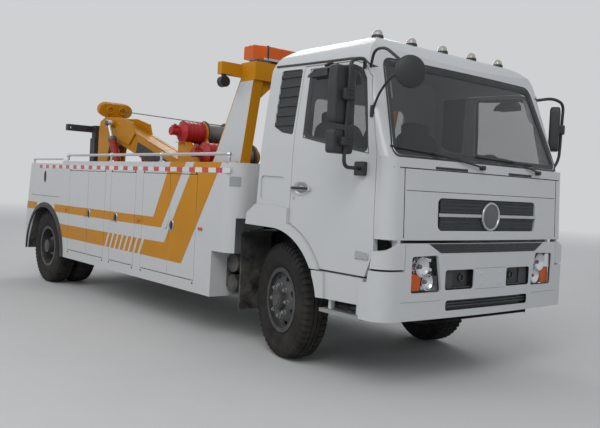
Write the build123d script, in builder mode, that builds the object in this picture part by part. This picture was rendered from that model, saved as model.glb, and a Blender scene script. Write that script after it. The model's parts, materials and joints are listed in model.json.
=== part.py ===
from build123d import *
from math import atan2, cos, degrees, hypot, radians, sin
import os

os.makedirs("parts", exist_ok=True)

# Lengths are in millimetres, angles in degrees. +X is forward, +Y is the vehicle's left, +Z is up.
# A station is a distance ahead of the front axle, and a height is counted from the ground.

# Gap between a piece and what it is seated on
SEAT = 0.3

# Running gear
WHEELBASE = 5250
TYRE_R = 510
TYRE_WIDTH = 246
RIM_R = 262
RIM_FLANGE_R = 292
FRONT_TYRE_Y = 905
REAR_OUTER_TYRE_Y = 1062
DUAL_SPACING = 305
KINGPIN_Y = 820
REST_STEER = -12
NUT_COUNT = 8
HAND_HOLE_COUNT = 8
KINGPIN_R = 22
EYE_HEIGHT = 120
SPINDLE_R = 30
HUB_MIDDLE = 70
HUB_LENGTH = 130
HUB_INNER_Y = 790
FRONT_AXLE_TOP = 455
FRONT_SPRING_Y = 400
REAR_SPRING_Y = 512
SPRING_WIDTH = 75
SPRING_STEP = 13
SPRING_LEAVES = 5
REAR_TUBE_R = 72
TANK_STATION = -760
TANK_HEIGHTS = (560, 760)
TANK_R = 88

# Chassis
RAIL_OUTER_Y = 430
RAIL_HEIGHT = 240
RAIL_TOP_Z = 985
RAIL_FLANGE = 75
RAIL_WALL = 9
RAIL_FRONT = 1270
RAIL_REAR = -5900
CAB_PIVOT = (1325, 700)
CAB_ARM_Y = 500
CAB_ARM_WIDTH = 34
CROSS_TUBES = (1180, -1150, -2100, -3050, -4100, -4750)
OUTRIGGERS = (-1100, -2400, -3700, -4550, -5850)
DECK_FRONT = -640
SLOT_HALF_WIDTH = 300
SPRING_EYE_R = 26
PIVOT_PLATE_Y = RAIL_OUTER_Y - RAIL_WALL - SEAT
# Spring seats: station, half length, axle top, Y
SPRING_SEATS = ((0, 720, FRONT_AXLE_TOP + SEAT, FRONT_SPRING_Y),
                (-WHEELBASE, 780, TYRE_R + REAR_TUBE_R + SEAT, REAR_SPRING_Y))

# Cab
CAB_HALF_WIDTH = 1150
CAB_TOP_HALF_WIDTH = 1100
CAB_WALL = 45
CAB_FLOOR_Z = 1158
SKIN_LOW_Z = 862
CAB_REAR = -275
COWL_Z = 1765
GUTTER_Z = 2535
ROOF_Z = 2792
DOOR_GAP = 6
# The roof seen from the side and from the front: places with their rounding
ROOF_SIDE = (((-190, GUTTER_Z), 60), ((-150, 2680), 90), ((0, 2765), 250), ((330, ROOF_Z), 900), ((700, 2776), 500),
             ((900, 2712), 280), ((1050, 2575), 160))
ROOF_FRONT = (((CAB_HALF_WIDTH, 1850), 900), ((CAB_TOP_HALF_WIDTH, GUTTER_Z), 240), ((1040, 2630), 170),
              ((860, 2745), 480), ((400, ROOF_Z), 1900))
ARCH_R = 643
FLARE_R = 720
FLARE_OUT = 32
FRONT_X = 1402
SCREEN_X = 1345
SCREEN_LEAN = 0.376
FRONT_CORNER = 110
FRONT_BOW = 38
# Door outline on the side: stations and heights, clockwise from its lowest rear corner
DOOR_OUTLINE = [(207, 868), (207, 1300), (222, 1937), (268, 2512), (880, 2498), (990, 2462), (1060, 2370),
                (1200, 1800), (1205, 1300), (1217, 1056), (1139, 868)]
WINDOW_OUTLINE = [(338, 1925), (350, 2482), (862, 2468), (960, 2432), (1012, 2350), (1112, 1790)]
SCOOP_DEPTH = 14
GLASS = 6
GLASS_INSET = 12

# Bumper
BUMPER_FRONT = 1430
BUMPER_HALF_WIDTH = 1212
BUMPER_WALL = 28
BUMPER_LOW_Z = 560
BUMPER_TOP_Z = 1136
BUMPER_WING_Z = 1085
BUMPER_SEAM_Y = 990
CORNER_LOW_Z = 943
CORNER_GAP = 15
BUMPER_CORNER = 150
BUMPER_BOW = 40

# Body
BODY_HALF_WIDTH = 1220
BODY_INNER_Y = 615
BODY_TOP_Z = 1710
BODY_LOW_Z = 427
BODY_FRONT = -550
BODY_REAR = -6030
BODY_WALL = 30
BODY_CORNER = 175
LEAF_GAP = 6
LEAF_THICKNESS = 28
DECK_Z = 1130
DECK_PLATE = 12
ARCH_TRIM = 32
REAR_ARCH = [(-4620, 300), (-4640, 560), (-4790, 860), (-5000, 1060), (-5540, 1060), (-5750, 860), (-5900, 560),
             (-5940, 300)]
LEAF_LOW_Z = 546
LEAF_HIGH_Z = 1584
# Locker leaves: name, rear station, front station, hinge station, latch station
LEAVES = (("rear_a", -4400, -3803, -4400, -3860), ("rear_b", -3797, -3300, -3300, -3745),
          ("middle", -3130, -2495, -2495, -3060), ("front_a", -2310, -1713, -2310, -1780),
          ("front_b", -1707, -1180, -1180, -1650))
LOCKERS = ((-4400, -3300), (-3130, -2495), (-2310, -1180))

# Boom and underlift
BOOM_PIVOT = (-2950, 1480)
BOOM_SLOPE = 17
BOOM_WIDTH = 240
BOOM_DEPTH = 290
BOOM_WALL = 12
BOOM_LENGTH = 2700
INNER_START = 1300
INNER_END = 3080
BOOM_PIN_R = 40
FRAME_INNER_Y = 165
FRAME_PLATE = 26
FOOT_PLATE = 15
WING_INNER_Y = 125
WING_OUTER_Y = 150
LEG_REAR = -5990
LEG_FRONT = -5720
LEG_LOW_Z = 790
LEG_HIGH_Z = 2030
LEG_WALL = 16
LUFF_FOOT = (-4800, 1250)
LUFF_EYE = (-5450, 2345)
LUFF_Y = 236
LUFF_BARREL_R = 58
LUFF_ROD_R = 28
LUFF_BARREL_LENGTH = 1015
LUFF_ROD_LENGTH = 1003
LUFF_PIN_R = 30
TILT_BARREL_R = 44
TILT_ROD_R = 21
TILT_BARREL_LENGTH = 560
TILT_ROD_LENGTH = 640
ARM_PIVOT = (-6120, 850)
ARM_WIDTH = 200
ARM_FACE = 150
ARM_DEPTH = 170
ARM_WALL = 12
ARM_LOW_Z = 800
ARM_HIGH_Z = 2150
SLIDE_LOW_Z = 1200
SLIDE_HIGH_Z = 2355
SLIDE_GAP = 5
COLLAR = 90
SWIVEL_Z = 2300
TILT_FOOT = (-6070, 1760)
TILT_EYE = (-6190, 950)
CROSSBAR_LENGTH = 960
CROSSBAR_SIZE = 100
FORK_PIN_R = 26

# Winches: name, station, height, gearbox length
WINCHES = (("upper", -2850, 2120, 370), ("front", -2270, 1850, 400))
WINCH_R = 125
DRUM_R = 95
DRUM_FLANGE_R = 160
DRUM_SHAFT_R = 30

# Cab openings and trim
SCREEN_OUTLINE = [(-1068, 1786), (-950, 2522), (950, 2522), (1068, 1786)]
REAR_WINDOW_OUTLINE = [(-620, 1960), (-620, 2340), (620, 2340), (620, 1960)]
VENT_OUTLINE = [(-78, 2024), (-45, 2508), (238, 2500), (190, 1948), (30, 1972)]
VENT_SLATS = 6
VENT_LOW = 2030
VENT_HIGH = 2440
GRILLE_HALF = 645
GRILLE_LOW = 1230
GRILLE_HIGH = 1480
GRILLE_OUTLINE = [(-GRILLE_HALF, GRILLE_LOW), (-GRILLE_HALF, GRILLE_HIGH), (GRILLE_HALF, GRILLE_HIGH),
                  (GRILLE_HALF, GRILLE_LOW)]
GRILLE_BACK = 34
GRILLE_BARS = 9
EMBLEM_R = 112
MARKER_YS = (-800, -400, 0, 400, 800)
MARKER_STATION = 790
MARKER_TOP_Z = 2838
LINER_Y = 640
LINER_OUTER_Y = 1080
DRIVER_Y = 520
SEATS = ((-520, 560), (520, 560), (0, 380))
LAMP_IN = 588
LAMP_OUT = 920
LAMP_LOW = 765
LAMP_HIGH = 1045

# Mirrors
MIRROR_ARM_Y = 1400
MIRROR_HEADS = ((1980, 2400), (1765, 1940))
ROUND_MIRROR = (1640, 1375, 2300)
ROUND_MIRROR_R = 112
ROUND_MIRROR_DEPTH = 46

# The origin is on the ground, below the middle of the whole length.
CROSSBAR_FACE = ARM_PIVOT[0] - ARM_FACE - ARM_DEPTH + ARM_WALL
TAIL = CROSSBAR_SIZE - CROSSBAR_FACE
FRONT_AXLE_X = (TAIL - ROUND_MIRROR[0] - ROUND_MIRROR_DEPTH / 2) / 2


def st(station):
    """Gives the X of a station."""
    return FRONT_AXLE_X + station


def pts(outline):
    """Gives sketch points for an outline of stations and heights."""
    return [(st(x), z) for x, z in outline]


def block(stations, ys, heights, mode=Mode.ADD):
    """Adds a box between two stations, two Ys and two heights."""
    (x0, x1), (y0, y1), (z0, z1) = (sorted(pair) for pair in (stations, ys, heights))
    with Locations((st((x0 + x1) / 2), (y0 + y1) / 2, (z0 + z1) / 2)):
        Box(x1 - x0, y1 - y0, z1 - z0, mode=mode)


def slab(outline, y0, y1, mode=Mode.ADD, corner=0):
    """Adds a side outline of stations and heights, as thick as from y0 to y1."""
    low, high = min(y0, y1), max(y0, y1)
    with BuildSketch(Plane.XZ.offset(-high)) as face:
        with BuildLine():
            Polyline(*pts(outline), close=True)
        make_face()
        if corner:
            fillet(face.vertices(), corner)
    extrude(face.sketch, amount=high - low, mode=mode)


def pin(place, y0, y1, radius, mode=Mode.ADD):
    """Adds a round bar across the vehicle at a station and height."""
    with Locations(Location((st(place[0]), (y0 + y1) / 2, place[1]), (90, 0, 0))):
        Cylinder(radius, abs(y1 - y0), mode=mode)


def strut(start, end, y, radius, mode=Mode.ADD):
    """Adds a round bar between two places of the plane at y."""
    dx, dz = end[0] - start[0], end[1] - start[1]
    middle = (st((start[0] + end[0]) / 2), y, (start[1] + end[1]) / 2)
    with Locations(Location(middle, (0, degrees(atan2(dx, dz)), 0))):
        Cylinder(radius, hypot(dx, dz), mode=mode)


def tube(points, radius, bend):
    """Adds a bent round bar along points of X, Y and Z."""
    with BuildLine() as path:
        FilletPolyline(*points, radius=bend) if len(points) > 2 else Line(*points)
    with BuildSketch(Plane(origin=path.line @ 0, z_dir=path.line % 0)) as section:
        Circle(radius)
    sweep(section.sketch, path=path.line)


def save(builder, name):
    """Labels a finished piece and writes it."""
    builder.part.label = name
    export_step(builder.part, f"parts/{name}.step")


# Sides: name and sign of Y
SIDES = (("right", -1), ("left", 1))

# Wheels, made once about the hub's centre with the outer face towards -Y

with BuildPart() as tyre_master:
    half = TYRE_WIDTH / 2
    with BuildSketch(Plane.XY) as tyre_section:
        with BuildLine():
            Polyline((RIM_R + SEAT, -half * 0.7), (RIM_R + 26, -half * 0.76), (RIM_R + 60, -half * 0.96),
                     (TYRE_R - 110, -half), (TYRE_R - 42, -half * 0.93), (TYRE_R - 8, -half * 0.78),
                     (TYRE_R, -half * 0.5), (TYRE_R, half * 0.5), (TYRE_R - 8, half * 0.78),
                     (TYRE_R - 42, half * 0.93), (TYRE_R - 110, half), (RIM_R + 60, half * 0.96),
                     (RIM_R + 26, half * 0.76), (RIM_R + SEAT, half * 0.7), (RIM_R + SEAT, -half * 0.7))
        make_face()
    revolve(axis=Axis.Y)


def rim(disc_y, hub_out):
    """Makes a disc wheel whose disc stands at disc_y, with its outer face towards -Y."""
    edge = TYRE_WIDTH / 2 - 18
    with BuildPart() as wheel:
        with BuildSketch(Plane.XY):
            with BuildLine():
                Polyline((RIM_R - 14, -edge), (RIM_FLANGE_R - 6, -edge), (RIM_FLANGE_R - 6, -edge + 8),
                         (RIM_R, -edge + 12), (RIM_R, edge - 12), (RIM_FLANGE_R - 6, edge - 8),
                         (RIM_FLANGE_R - 6, edge), (RIM_R - 14, edge), (RIM_R - 14, -edge))
            make_face()
        revolve(axis=Axis.Y)
        with BuildSketch(Plane.XY):
            with BuildLine():
                Polyline((88, disc_y + hub_out), (170, disc_y + hub_out), (228, disc_y), (RIM_R - 13, disc_y),
                         (RIM_R - 13, disc_y + 14), (222, disc_y + 14), (162, disc_y + hub_out + 14),
                         (88, disc_y + hub_out + 14), (88, disc_y + hub_out))
            make_face()
        revolve(axis=Axis.Y)
        with BuildSketch(Plane.XZ):
            with PolarLocations(205, HAND_HOLE_COUNT, start_angle=22.5):
                Ellipse(18, 27)
        extrude(amount=TYRE_WIDTH, both=True, mode=Mode.SUBTRACT)
        with Locations(Plane(origin=(0, disc_y + hub_out - 7, 0), z_dir=(0, -1, 0))):
            with PolarLocations(137, NUT_COUNT):
                Cylinder(15, 34)
    return wheel.part


front_rim_master = rim(-70, -34)
rear_rim_master = rim(70, -20)


# Steered wheels: each knuckle, rim and tyre is turned about its kingpin.
for side_name, side in SIDES:
    kingpin = (st(0), side * KINGPIN_Y, 0)
    hub_offset = (0, side * (FRONT_TYRE_Y - KINGPIN_Y), TYRE_R)
    steer = Location(kingpin, (0, 0, REST_STEER)) * Location(hub_offset)
    facing = Location((0, 0, 0), (0, 0, 0)) if side < 0 else Location((0, 0, 0), (0, 0, 180))

    with BuildPart() as knuckle:
        with Locations(Location(kingpin, (0, 0, REST_STEER))):
            with Locations((0, 0, TYRE_R - EYE_HEIGHT / 2 - 27), (0, 0, TYRE_R + EYE_HEIGHT / 2 + 27)):
                Cylinder(52, 44)
            with Locations((0, 0, TYRE_R)):
                Cylinder(KINGPIN_R, EYE_HEIGHT + 60)
            with Locations((0, side * 68, TYRE_R)):
                Box(104, 20, EYE_HEIGHT + 98)
            with Locations((0, side * 40, TYRE_R - EYE_HEIGHT / 2 - 27), (0, side * 40, TYRE_R + EYE_HEIGHT / 2 + 27)):
                Box(104, 76, 44)
            with Locations(Location((0, side * 130, TYRE_R), (90, 0, 0))):
                Cylinder(SPINDLE_R, 110)
            with Locations((-110, side * 20, TYRE_R - EYE_HEIGHT / 2 - 27)):
                Box(180, 44, 30)
    save(knuckle, f"knuckle_{side_name}")

    with BuildPart() as front_rim:
        with Locations(steer * facing):
            add(front_rim_master)
        with Locations(steer * Location((0, side * HUB_MIDDLE, 0), (90, 0, 0))):
            Cylinder(90, HUB_LENGTH)
        with Locations(steer * Location((0, side * (HUB_MIDDLE - 20), 0), (90, 0, 0))):
            Cylinder(SPINDLE_R + 0.3, HUB_LENGTH - 20, mode=Mode.SUBTRACT)
    save(front_rim, f"front_rim_{side_name}")

    with BuildPart() as front_tyre:
        with Locations(steer * facing):
            add(tyre_master.part)
    save(front_tyre, f"front_tyre_{side_name}")

    # Twin rear wheels turn as one.
    outer_y = side * REAR_OUTER_TYRE_Y
    inner_y = side * (REAR_OUTER_TYRE_Y - DUAL_SPACING)
    back = Location((0, 0, 0), (0, 0, 180))
    with BuildPart() as rear_rim:
        with Locations(Location((st(-WHEELBASE), outer_y, TYRE_R)) * facing):
            add(rear_rim_master)
        with Locations(Location((st(-WHEELBASE), inner_y, TYRE_R)) * facing * back):
            add(rear_rim_master)
        pin((-WHEELBASE, TYRE_R), inner_y + side * 60, outer_y + side * 40, 128)
        pin((-WHEELBASE, TYRE_R), inner_y + side * 60, outer_y + side * 120, 88)
        pin((-WHEELBASE, TYRE_R), inner_y + side * 55, inner_y + side * 165, SPINDLE_R + 0.3, Mode.SUBTRACT)
    save(rear_rim, f"rear_rim_{side_name}")

    with BuildPart() as rear_tyre:
        with Locations((st(-WHEELBASE), outer_y, TYRE_R), (st(-WHEELBASE), inner_y, TYRE_R)):
            add(tyre_master.part)
    save(rear_tyre, f"rear_tyre_{side_name}")


# Axles with their leaf springs

def springs(station, ys, axle_top, half_length):
    """Adds a pack of leaves on an axle, with an eye at each end and its hangers to the rail."""
    for y in ys:
        low, high = y - SPRING_WIDTH / 2, y + SPRING_WIDTH / 2
        for leaf in range(SPRING_LEAVES):
            reach = half_length * (1 - 0.16 * (SPRING_LEAVES - 1 - leaf))
            z = axle_top + leaf * SPRING_STEP
            block((station - reach, station + reach), (low, high), (z, z + SPRING_STEP))
        eye_z = axle_top + SPRING_LEAVES * SPRING_STEP
        for end in (-1, 1):
            pin((station + end * half_length, eye_z), low, high, SPRING_EYE_R)


with BuildPart() as front_axle:
    with BuildSketch(Plane.YZ.offset(st(0))):
        with BuildLine():
            Polyline((-KINGPIN_Y + 30, TYRE_R + 36), (-640, TYRE_R + 10), (-560, FRONT_AXLE_TOP), (560, FRONT_AXLE_TOP),
                     (640, TYRE_R + 10), (KINGPIN_Y - 30, TYRE_R + 36), (KINGPIN_Y - 30, TYRE_R - 36),
                     (640, TYRE_R - 70), (560, FRONT_AXLE_TOP - 90), (-560, FRONT_AXLE_TOP - 90),
                     (-640, TYRE_R - 70), (-KINGPIN_Y + 30, TYRE_R - 36), (-KINGPIN_Y + 30, TYRE_R + 36))
        make_face()
    extrude(amount=45, both=True)
    with Locations(*[(st(0), side * KINGPIN_Y, TYRE_R) for name, side in SIDES]):
        Cylinder(46, EYE_HEIGHT)
    with Locations(*[(st(0), side * KINGPIN_Y, TYRE_R) for name, side in SIDES]):
        Cylinder(KINGPIN_R + 0.3, EYE_HEIGHT, mode=Mode.SUBTRACT)
    springs(0, (-FRONT_SPRING_Y, FRONT_SPRING_Y), SPRING_SEATS[0][2], SPRING_SEATS[0][1])
save(front_axle, "front_axle")

with BuildPart() as rear_axle:
    pin((-WHEELBASE, TYRE_R), -HUB_INNER_Y, HUB_INNER_Y, REAR_TUBE_R)
    for name, side in SIDES:
        pin((-WHEELBASE, TYRE_R), side * (HUB_INNER_Y - 1), side * (HUB_INNER_Y + 80), SPINDLE_R)
    with Locations((st(-WHEELBASE), 0, TYRE_R)):
        Sphere(205)
    with Locations(Location((st(-WHEELBASE) + 260, 0, TYRE_R + 20), (0, 90, 0))):
        Cone(95, 62, 240)
    springs(-WHEELBASE, (-REAR_SPRING_Y, REAR_SPRING_Y), SPRING_SEATS[1][2], SPRING_SEATS[1][1])
    strut((-WHEELBASE + 384, TYRE_R + 24), (-1004, 700), 0, 48)
save(rear_axle, "rear_axle")

# Ladder frame: two channels, tubes across them, spring hangers, cab pivots and the rear cross rail

with BuildPart() as chassis_frame:
    rail_low_z = RAIL_TOP_Z - RAIL_HEIGHT
    for name, side in SIDES:
        web = (side * (RAIL_OUTER_Y - RAIL_WALL), side * RAIL_OUTER_Y)
        flange = (side * (RAIL_OUTER_Y - RAIL_FLANGE), side * RAIL_OUTER_Y)
        block((RAIL_REAR, RAIL_FRONT), web, (rail_low_z, RAIL_TOP_Z))
        block((RAIL_REAR, RAIL_FRONT), flange, (RAIL_TOP_Z - RAIL_WALL, RAIL_TOP_Z))
        block((RAIL_REAR, RAIL_FRONT), flange, (rail_low_z, rail_low_z + RAIL_WALL))
        # Sub-rail under the deck
        block((RAIL_REAR, DECK_FRONT), flange, (RAIL_TOP_Z + SEAT, DECK_Z - SEAT))
        for station, half_length, axle_top, spring_y in SPRING_SEATS:
            eye_z = axle_top + SPRING_LEAVES * SPRING_STEP
            for end in (-1, 1):
                x = station + end * half_length
                block((x - 40, x + 40), (side * (RAIL_OUTER_Y - RAIL_FLANGE), side * (spring_y + SPRING_WIDTH / 2 + 12)),
                      (eye_z + SPRING_EYE_R + SEAT, rail_low_z - SEAT))
        # Cab pivot: a plate inside the channel's end and its pin
        pivot_x, pivot_z = CAB_PIVOT
        slab([(RAIL_FRONT - 140, RAIL_TOP_Z - 15), (RAIL_FRONT - 140, rail_low_z + 15), (RAIL_FRONT + 10, rail_low_z + 10),
              (pivot_x - 30, pivot_z - 30), (pivot_x + 25, pivot_z - 20), (pivot_x + 25, pivot_z + 35),
              (RAIL_FRONT + 20, RAIL_TOP_Z - 55), (RAIL_FRONT, RAIL_TOP_Z - 15)],
             side * (PIVOT_PLATE_Y - 30), side * PIVOT_PLATE_Y)
        pin(CAB_PIVOT, side * (PIVOT_PLATE_Y - 30), side * (CAB_ARM_Y + CAB_ARM_WIDTH / 2 + 5), 20)
        for station in OUTRIGGERS:
            block((station - 40, station + 40), (side * (RAIL_OUTER_Y + SEAT), side * (BODY_INNER_Y - SEAT)),
                  (RAIL_TOP_Z - 70, RAIL_TOP_Z))
        block((BODY_REAR + 30, RAIL_REAR - SEAT), (side * (SLOT_HALF_WIDTH + 40), side * (BODY_INNER_Y - SEAT)),
              (rail_low_z, RAIL_TOP_Z))
    for station in CROSS_TUBES:
        reach = PIVOT_PLATE_Y - (30 + SEAT if station > RAIL_FRONT - 140 else 0)
        pin((station, RAIL_TOP_Z - RAIL_HEIGHT / 2), -reach, reach, 48)
save(chassis_frame, "chassis_frame")

# Engine, drawn as one block with its gearbox

with BuildPart() as engine_block:
    block((-560, 700), (-300, 300), (640, 1110))
    block((140, 260), (-RAIL_OUTER_Y + RAIL_WALL + SEAT, RAIL_OUTER_Y - RAIL_WALL - SEAT), (800, 850))
    block((-1000, -560), (-170, 170), (620, 900))
save(engine_block, "engine_block")

# Air tanks ahead of the right and left lockers, with their straps to the rail

with BuildPart() as tanks:
    for name, side in SIDES:
        for height in TANK_HEIGHTS:
            pin((TANK_STATION, height), side * 560, side * 1040, TANK_R)
        block((TANK_STATION - TANK_R - 12, TANK_STATION - TANK_R + 6), (side * (RAIL_OUTER_Y + SEAT), side * 1040),
              (TANK_HEIGHTS[0] - 40, TANK_HEIGHTS[1] + 40))
save(tanks, "tanks")

# Cab

def plan(front, corner, half_width, bow, level, inset):
    """Makes the cab's plan at one level: a bowed front with round corners and straight sides."""
    half = half_width - inset
    nose = st(front) - inset
    side_x = nose - bow - corner
    with BuildSketch(Plane.XY.offset(level)) as outline:
        with BuildLine():
            ThreePointArc((nose - bow, -half + corner * 0.9), (nose, 0), (nose - bow, half - corner * 0.9))
            Line((side_x, half), (st(CAB_REAR) - 900, half))
            Line((st(CAB_REAR) - 900, half), (st(CAB_REAR) - 900, -half))
            Line((st(CAB_REAR) - 900, -half), (side_x, -half))
            ThreePointArc((side_x, -half), (nose - bow - corner * 0.27, -half + corner * 0.27),
                          (nose - bow, -half + corner * 0.9))
            ThreePointArc((side_x, half), (nose - bow - corner * 0.27, half - corner * 0.27),
                          (nose - bow, half - corner * 0.9))
        make_face()
    return outline.sketch


def round_off(face, corners):
    """Rounds the corners of a sketch that a table names by place and radius."""
    for place, radius in corners:
        fillet(face.vertices().sort_by_distance(Vector(*place))[0], radius)


def cab_volume(inset, floor_z):
    """Makes the cab's closed form, with every wall moved in by inset."""
    with BuildPart() as volume:
        low, high, top = floor_z, COWL_Z, ROOF_Z + 60
        lean = Vector(-24 * (high - low) / 600, 0, high - low)
        extrude(plan(FRONT_X + 6, FRONT_CORNER, CAB_HALF_WIDTH, FRONT_BOW, low, inset), amount=lean.length, dir=lean)
        screen_lean = Vector(-SCREEN_LEAN * (top - high), 0, top - high)
        extrude(plan(SCREEN_X, FRONT_CORNER, CAB_HALF_WIDTH, FRONT_BOW, high - 0.5, inset), amount=screen_lean.length,
                dir=screen_lean)
        with BuildSketch(Plane.XZ) as side_view:
            with BuildLine():
                Polyline(*pts([(CAB_REAR, floor_z - 200), (CAB_REAR, 1300), *[place for place, radius in ROOF_SIDE],
                               (1700, 2250), (1700, floor_z - 200)]), close=True)
            make_face()
            round_off(side_view, [((st(x), z), radius) for (x, z), radius in ROOF_SIDE])
            offset(amount=-inset, kind=Kind.INTERSECTION)
        extrude(amount=CAB_HALF_WIDTH + 200, both=True, mode=Mode.INTERSECT)
        with BuildSketch(Plane.YZ) as front_view:
            with BuildLine():
                Polyline((-CAB_HALF_WIDTH, floor_z - 200), *[(-y, z) for (y, z), radius in ROOF_FRONT],
                         *[place for place, radius in ROOF_FRONT[::-1]], (CAB_HALF_WIDTH, floor_z - 200), close=True)
            make_face()
            for name, side in SIDES:
                round_off(front_view, [((side * y, z), radius) for (y, z), radius in ROOF_FRONT])
            offset(amount=-inset, kind=Kind.INTERSECTION)
        extrude(amount=6000, both=True, mode=Mode.INTERSECT)
    return volume.part


cab_outer = cab_volume(0, CAB_FLOOR_Z)
cab_inner = cab_volume(CAB_WALL, CAB_FLOOR_Z + CAB_WALL)
door_inner = cab_volume(CAB_WALL, 700)
door_inner_clear = cab_volume(CAB_WALL + DOOR_GAP, 700)


def door_leaf(grow, side, inner):
    """Gives the piece of the cab's side inside the door's outline, grown by a gap."""
    with BuildPart() as leaf:
        with BuildSketch(Plane.XZ.offset(-side * 900)) as outline:
            with BuildLine():
                Polyline(*pts(DOOR_OUTLINE), close=True)
            make_face()
            with Locations((st(0), TYRE_R)):
                Circle(FLARE_R + DOOR_GAP, mode=Mode.SUBTRACT)
            if grow:
                offset(amount=grow, kind=Kind.INTERSECTION)
        extrude(outline.sketch, amount=-side * 600)
        add(inner, mode=Mode.SUBTRACT)
    return leaf.part


def window_prism(outline_points, inset, side, corner=36):
    """Gives a window's outline, moved in by inset, through the cab's side."""
    with BuildPart() as prism:
        with BuildSketch(Plane.XZ.offset(-side * 900)) as outline:
            with BuildLine():
                Polyline(*pts(outline_points), close=True)
            make_face()
            fillet(outline.vertices(), corner)
            if inset:
                offset(amount=-inset)
        extrude(outline.sketch, amount=-side * 600)
    return prism.part


def front_prism(outline_points, x0, x1, inset, corner):
    """Gives an outline of Ys and heights, moved in by inset, between two stations."""
    with BuildPart() as prism:
        with BuildSketch(Plane.YZ.offset(st(x0))) as outline:
            with BuildLine():
                Polyline(*outline_points, close=True)
            make_face()
            fillet(outline.vertices(), corner)
            if inset:
                offset(amount=-inset)
        extrude(outline.sketch, amount=x1 - x0)
    return prism.part


# The side skin goes down below the floor beside the wheel arch and the step.
cab_side_outer = cab_volume(0, SKIN_LOW_Z)
cab_skin_clear = cab_volume(-SEAT, SKIN_LOW_Z)
cab_lining_clear = cab_volume(CAB_WALL + SEAT, CAB_FLOOR_Z + CAB_WALL + SEAT)

def bumper_plan(inset, level):
    """Makes the bumper's plan, with its wings running back beside the cab."""
    half = BUMPER_HALF_WIDTH - inset
    nose = st(BUMPER_FRONT) - inset
    corner = BUMPER_CORNER - inset
    with BuildSketch(Plane.XY.offset(level)) as outline:
        with BuildLine():
            ThreePointArc((nose - BUMPER_BOW, -half + corner), (nose, 0), (nose - BUMPER_BOW, half - corner))
            Line((nose - BUMPER_BOW - corner, half), (st(1000), half))
            Line((st(1000), half), (st(1000), -half))
            Line((st(1000), -half), (nose - BUMPER_BOW - corner, -half))
            for end in (-1, 1):
                ThreePointArc((nose - BUMPER_BOW - corner, end * half),
                              (nose - BUMPER_BOW - corner * 0.293, end * (half - corner * 0.293)),
                              (nose - BUMPER_BOW, end * (half - corner)))
        make_face()
    return outline.sketch


def bumper_corner(side):
    """Gives the bumper's upper corner on one side, with the tab that holds it below the cab's floor."""
    with BuildPart() as corner_piece:
        extrude(bumper_plan(0, CORNER_LOW_Z), amount=BUMPER_TOP_Z - CORNER_LOW_Z)
        extrude(bumper_plan(BUMPER_WALL, CORNER_LOW_Z - 1), amount=BUMPER_TOP_Z - CORNER_LOW_Z + 2, mode=Mode.SUBTRACT)
        block((900, 1500), (-side * 1300, side * (BUMPER_SEAM_Y + DOOR_GAP)), (900, 1300), Mode.SUBTRACT)
        slab([(900, 900), (900, 1300), (1300, 1300), (1278, 1140), (1243, 900)], side * 900, side * 1300, Mode.SUBTRACT)
        add(front_prism([(side * 1040, BUMPER_TOP_Z + 1), (side * 1140, BUMPER_WING_Z), (side * 1300, BUMPER_WING_Z - 40),
                         (side * 1300, 1300), (side * 1040, 1300)], 900, 1500, 0, 4), mode=Mode.SUBTRACT)
        block((1310, 1372), (side * 1030, side * 1052), (1060, CAB_FLOOR_Z + 10))
    return corner_piece.part


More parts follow.
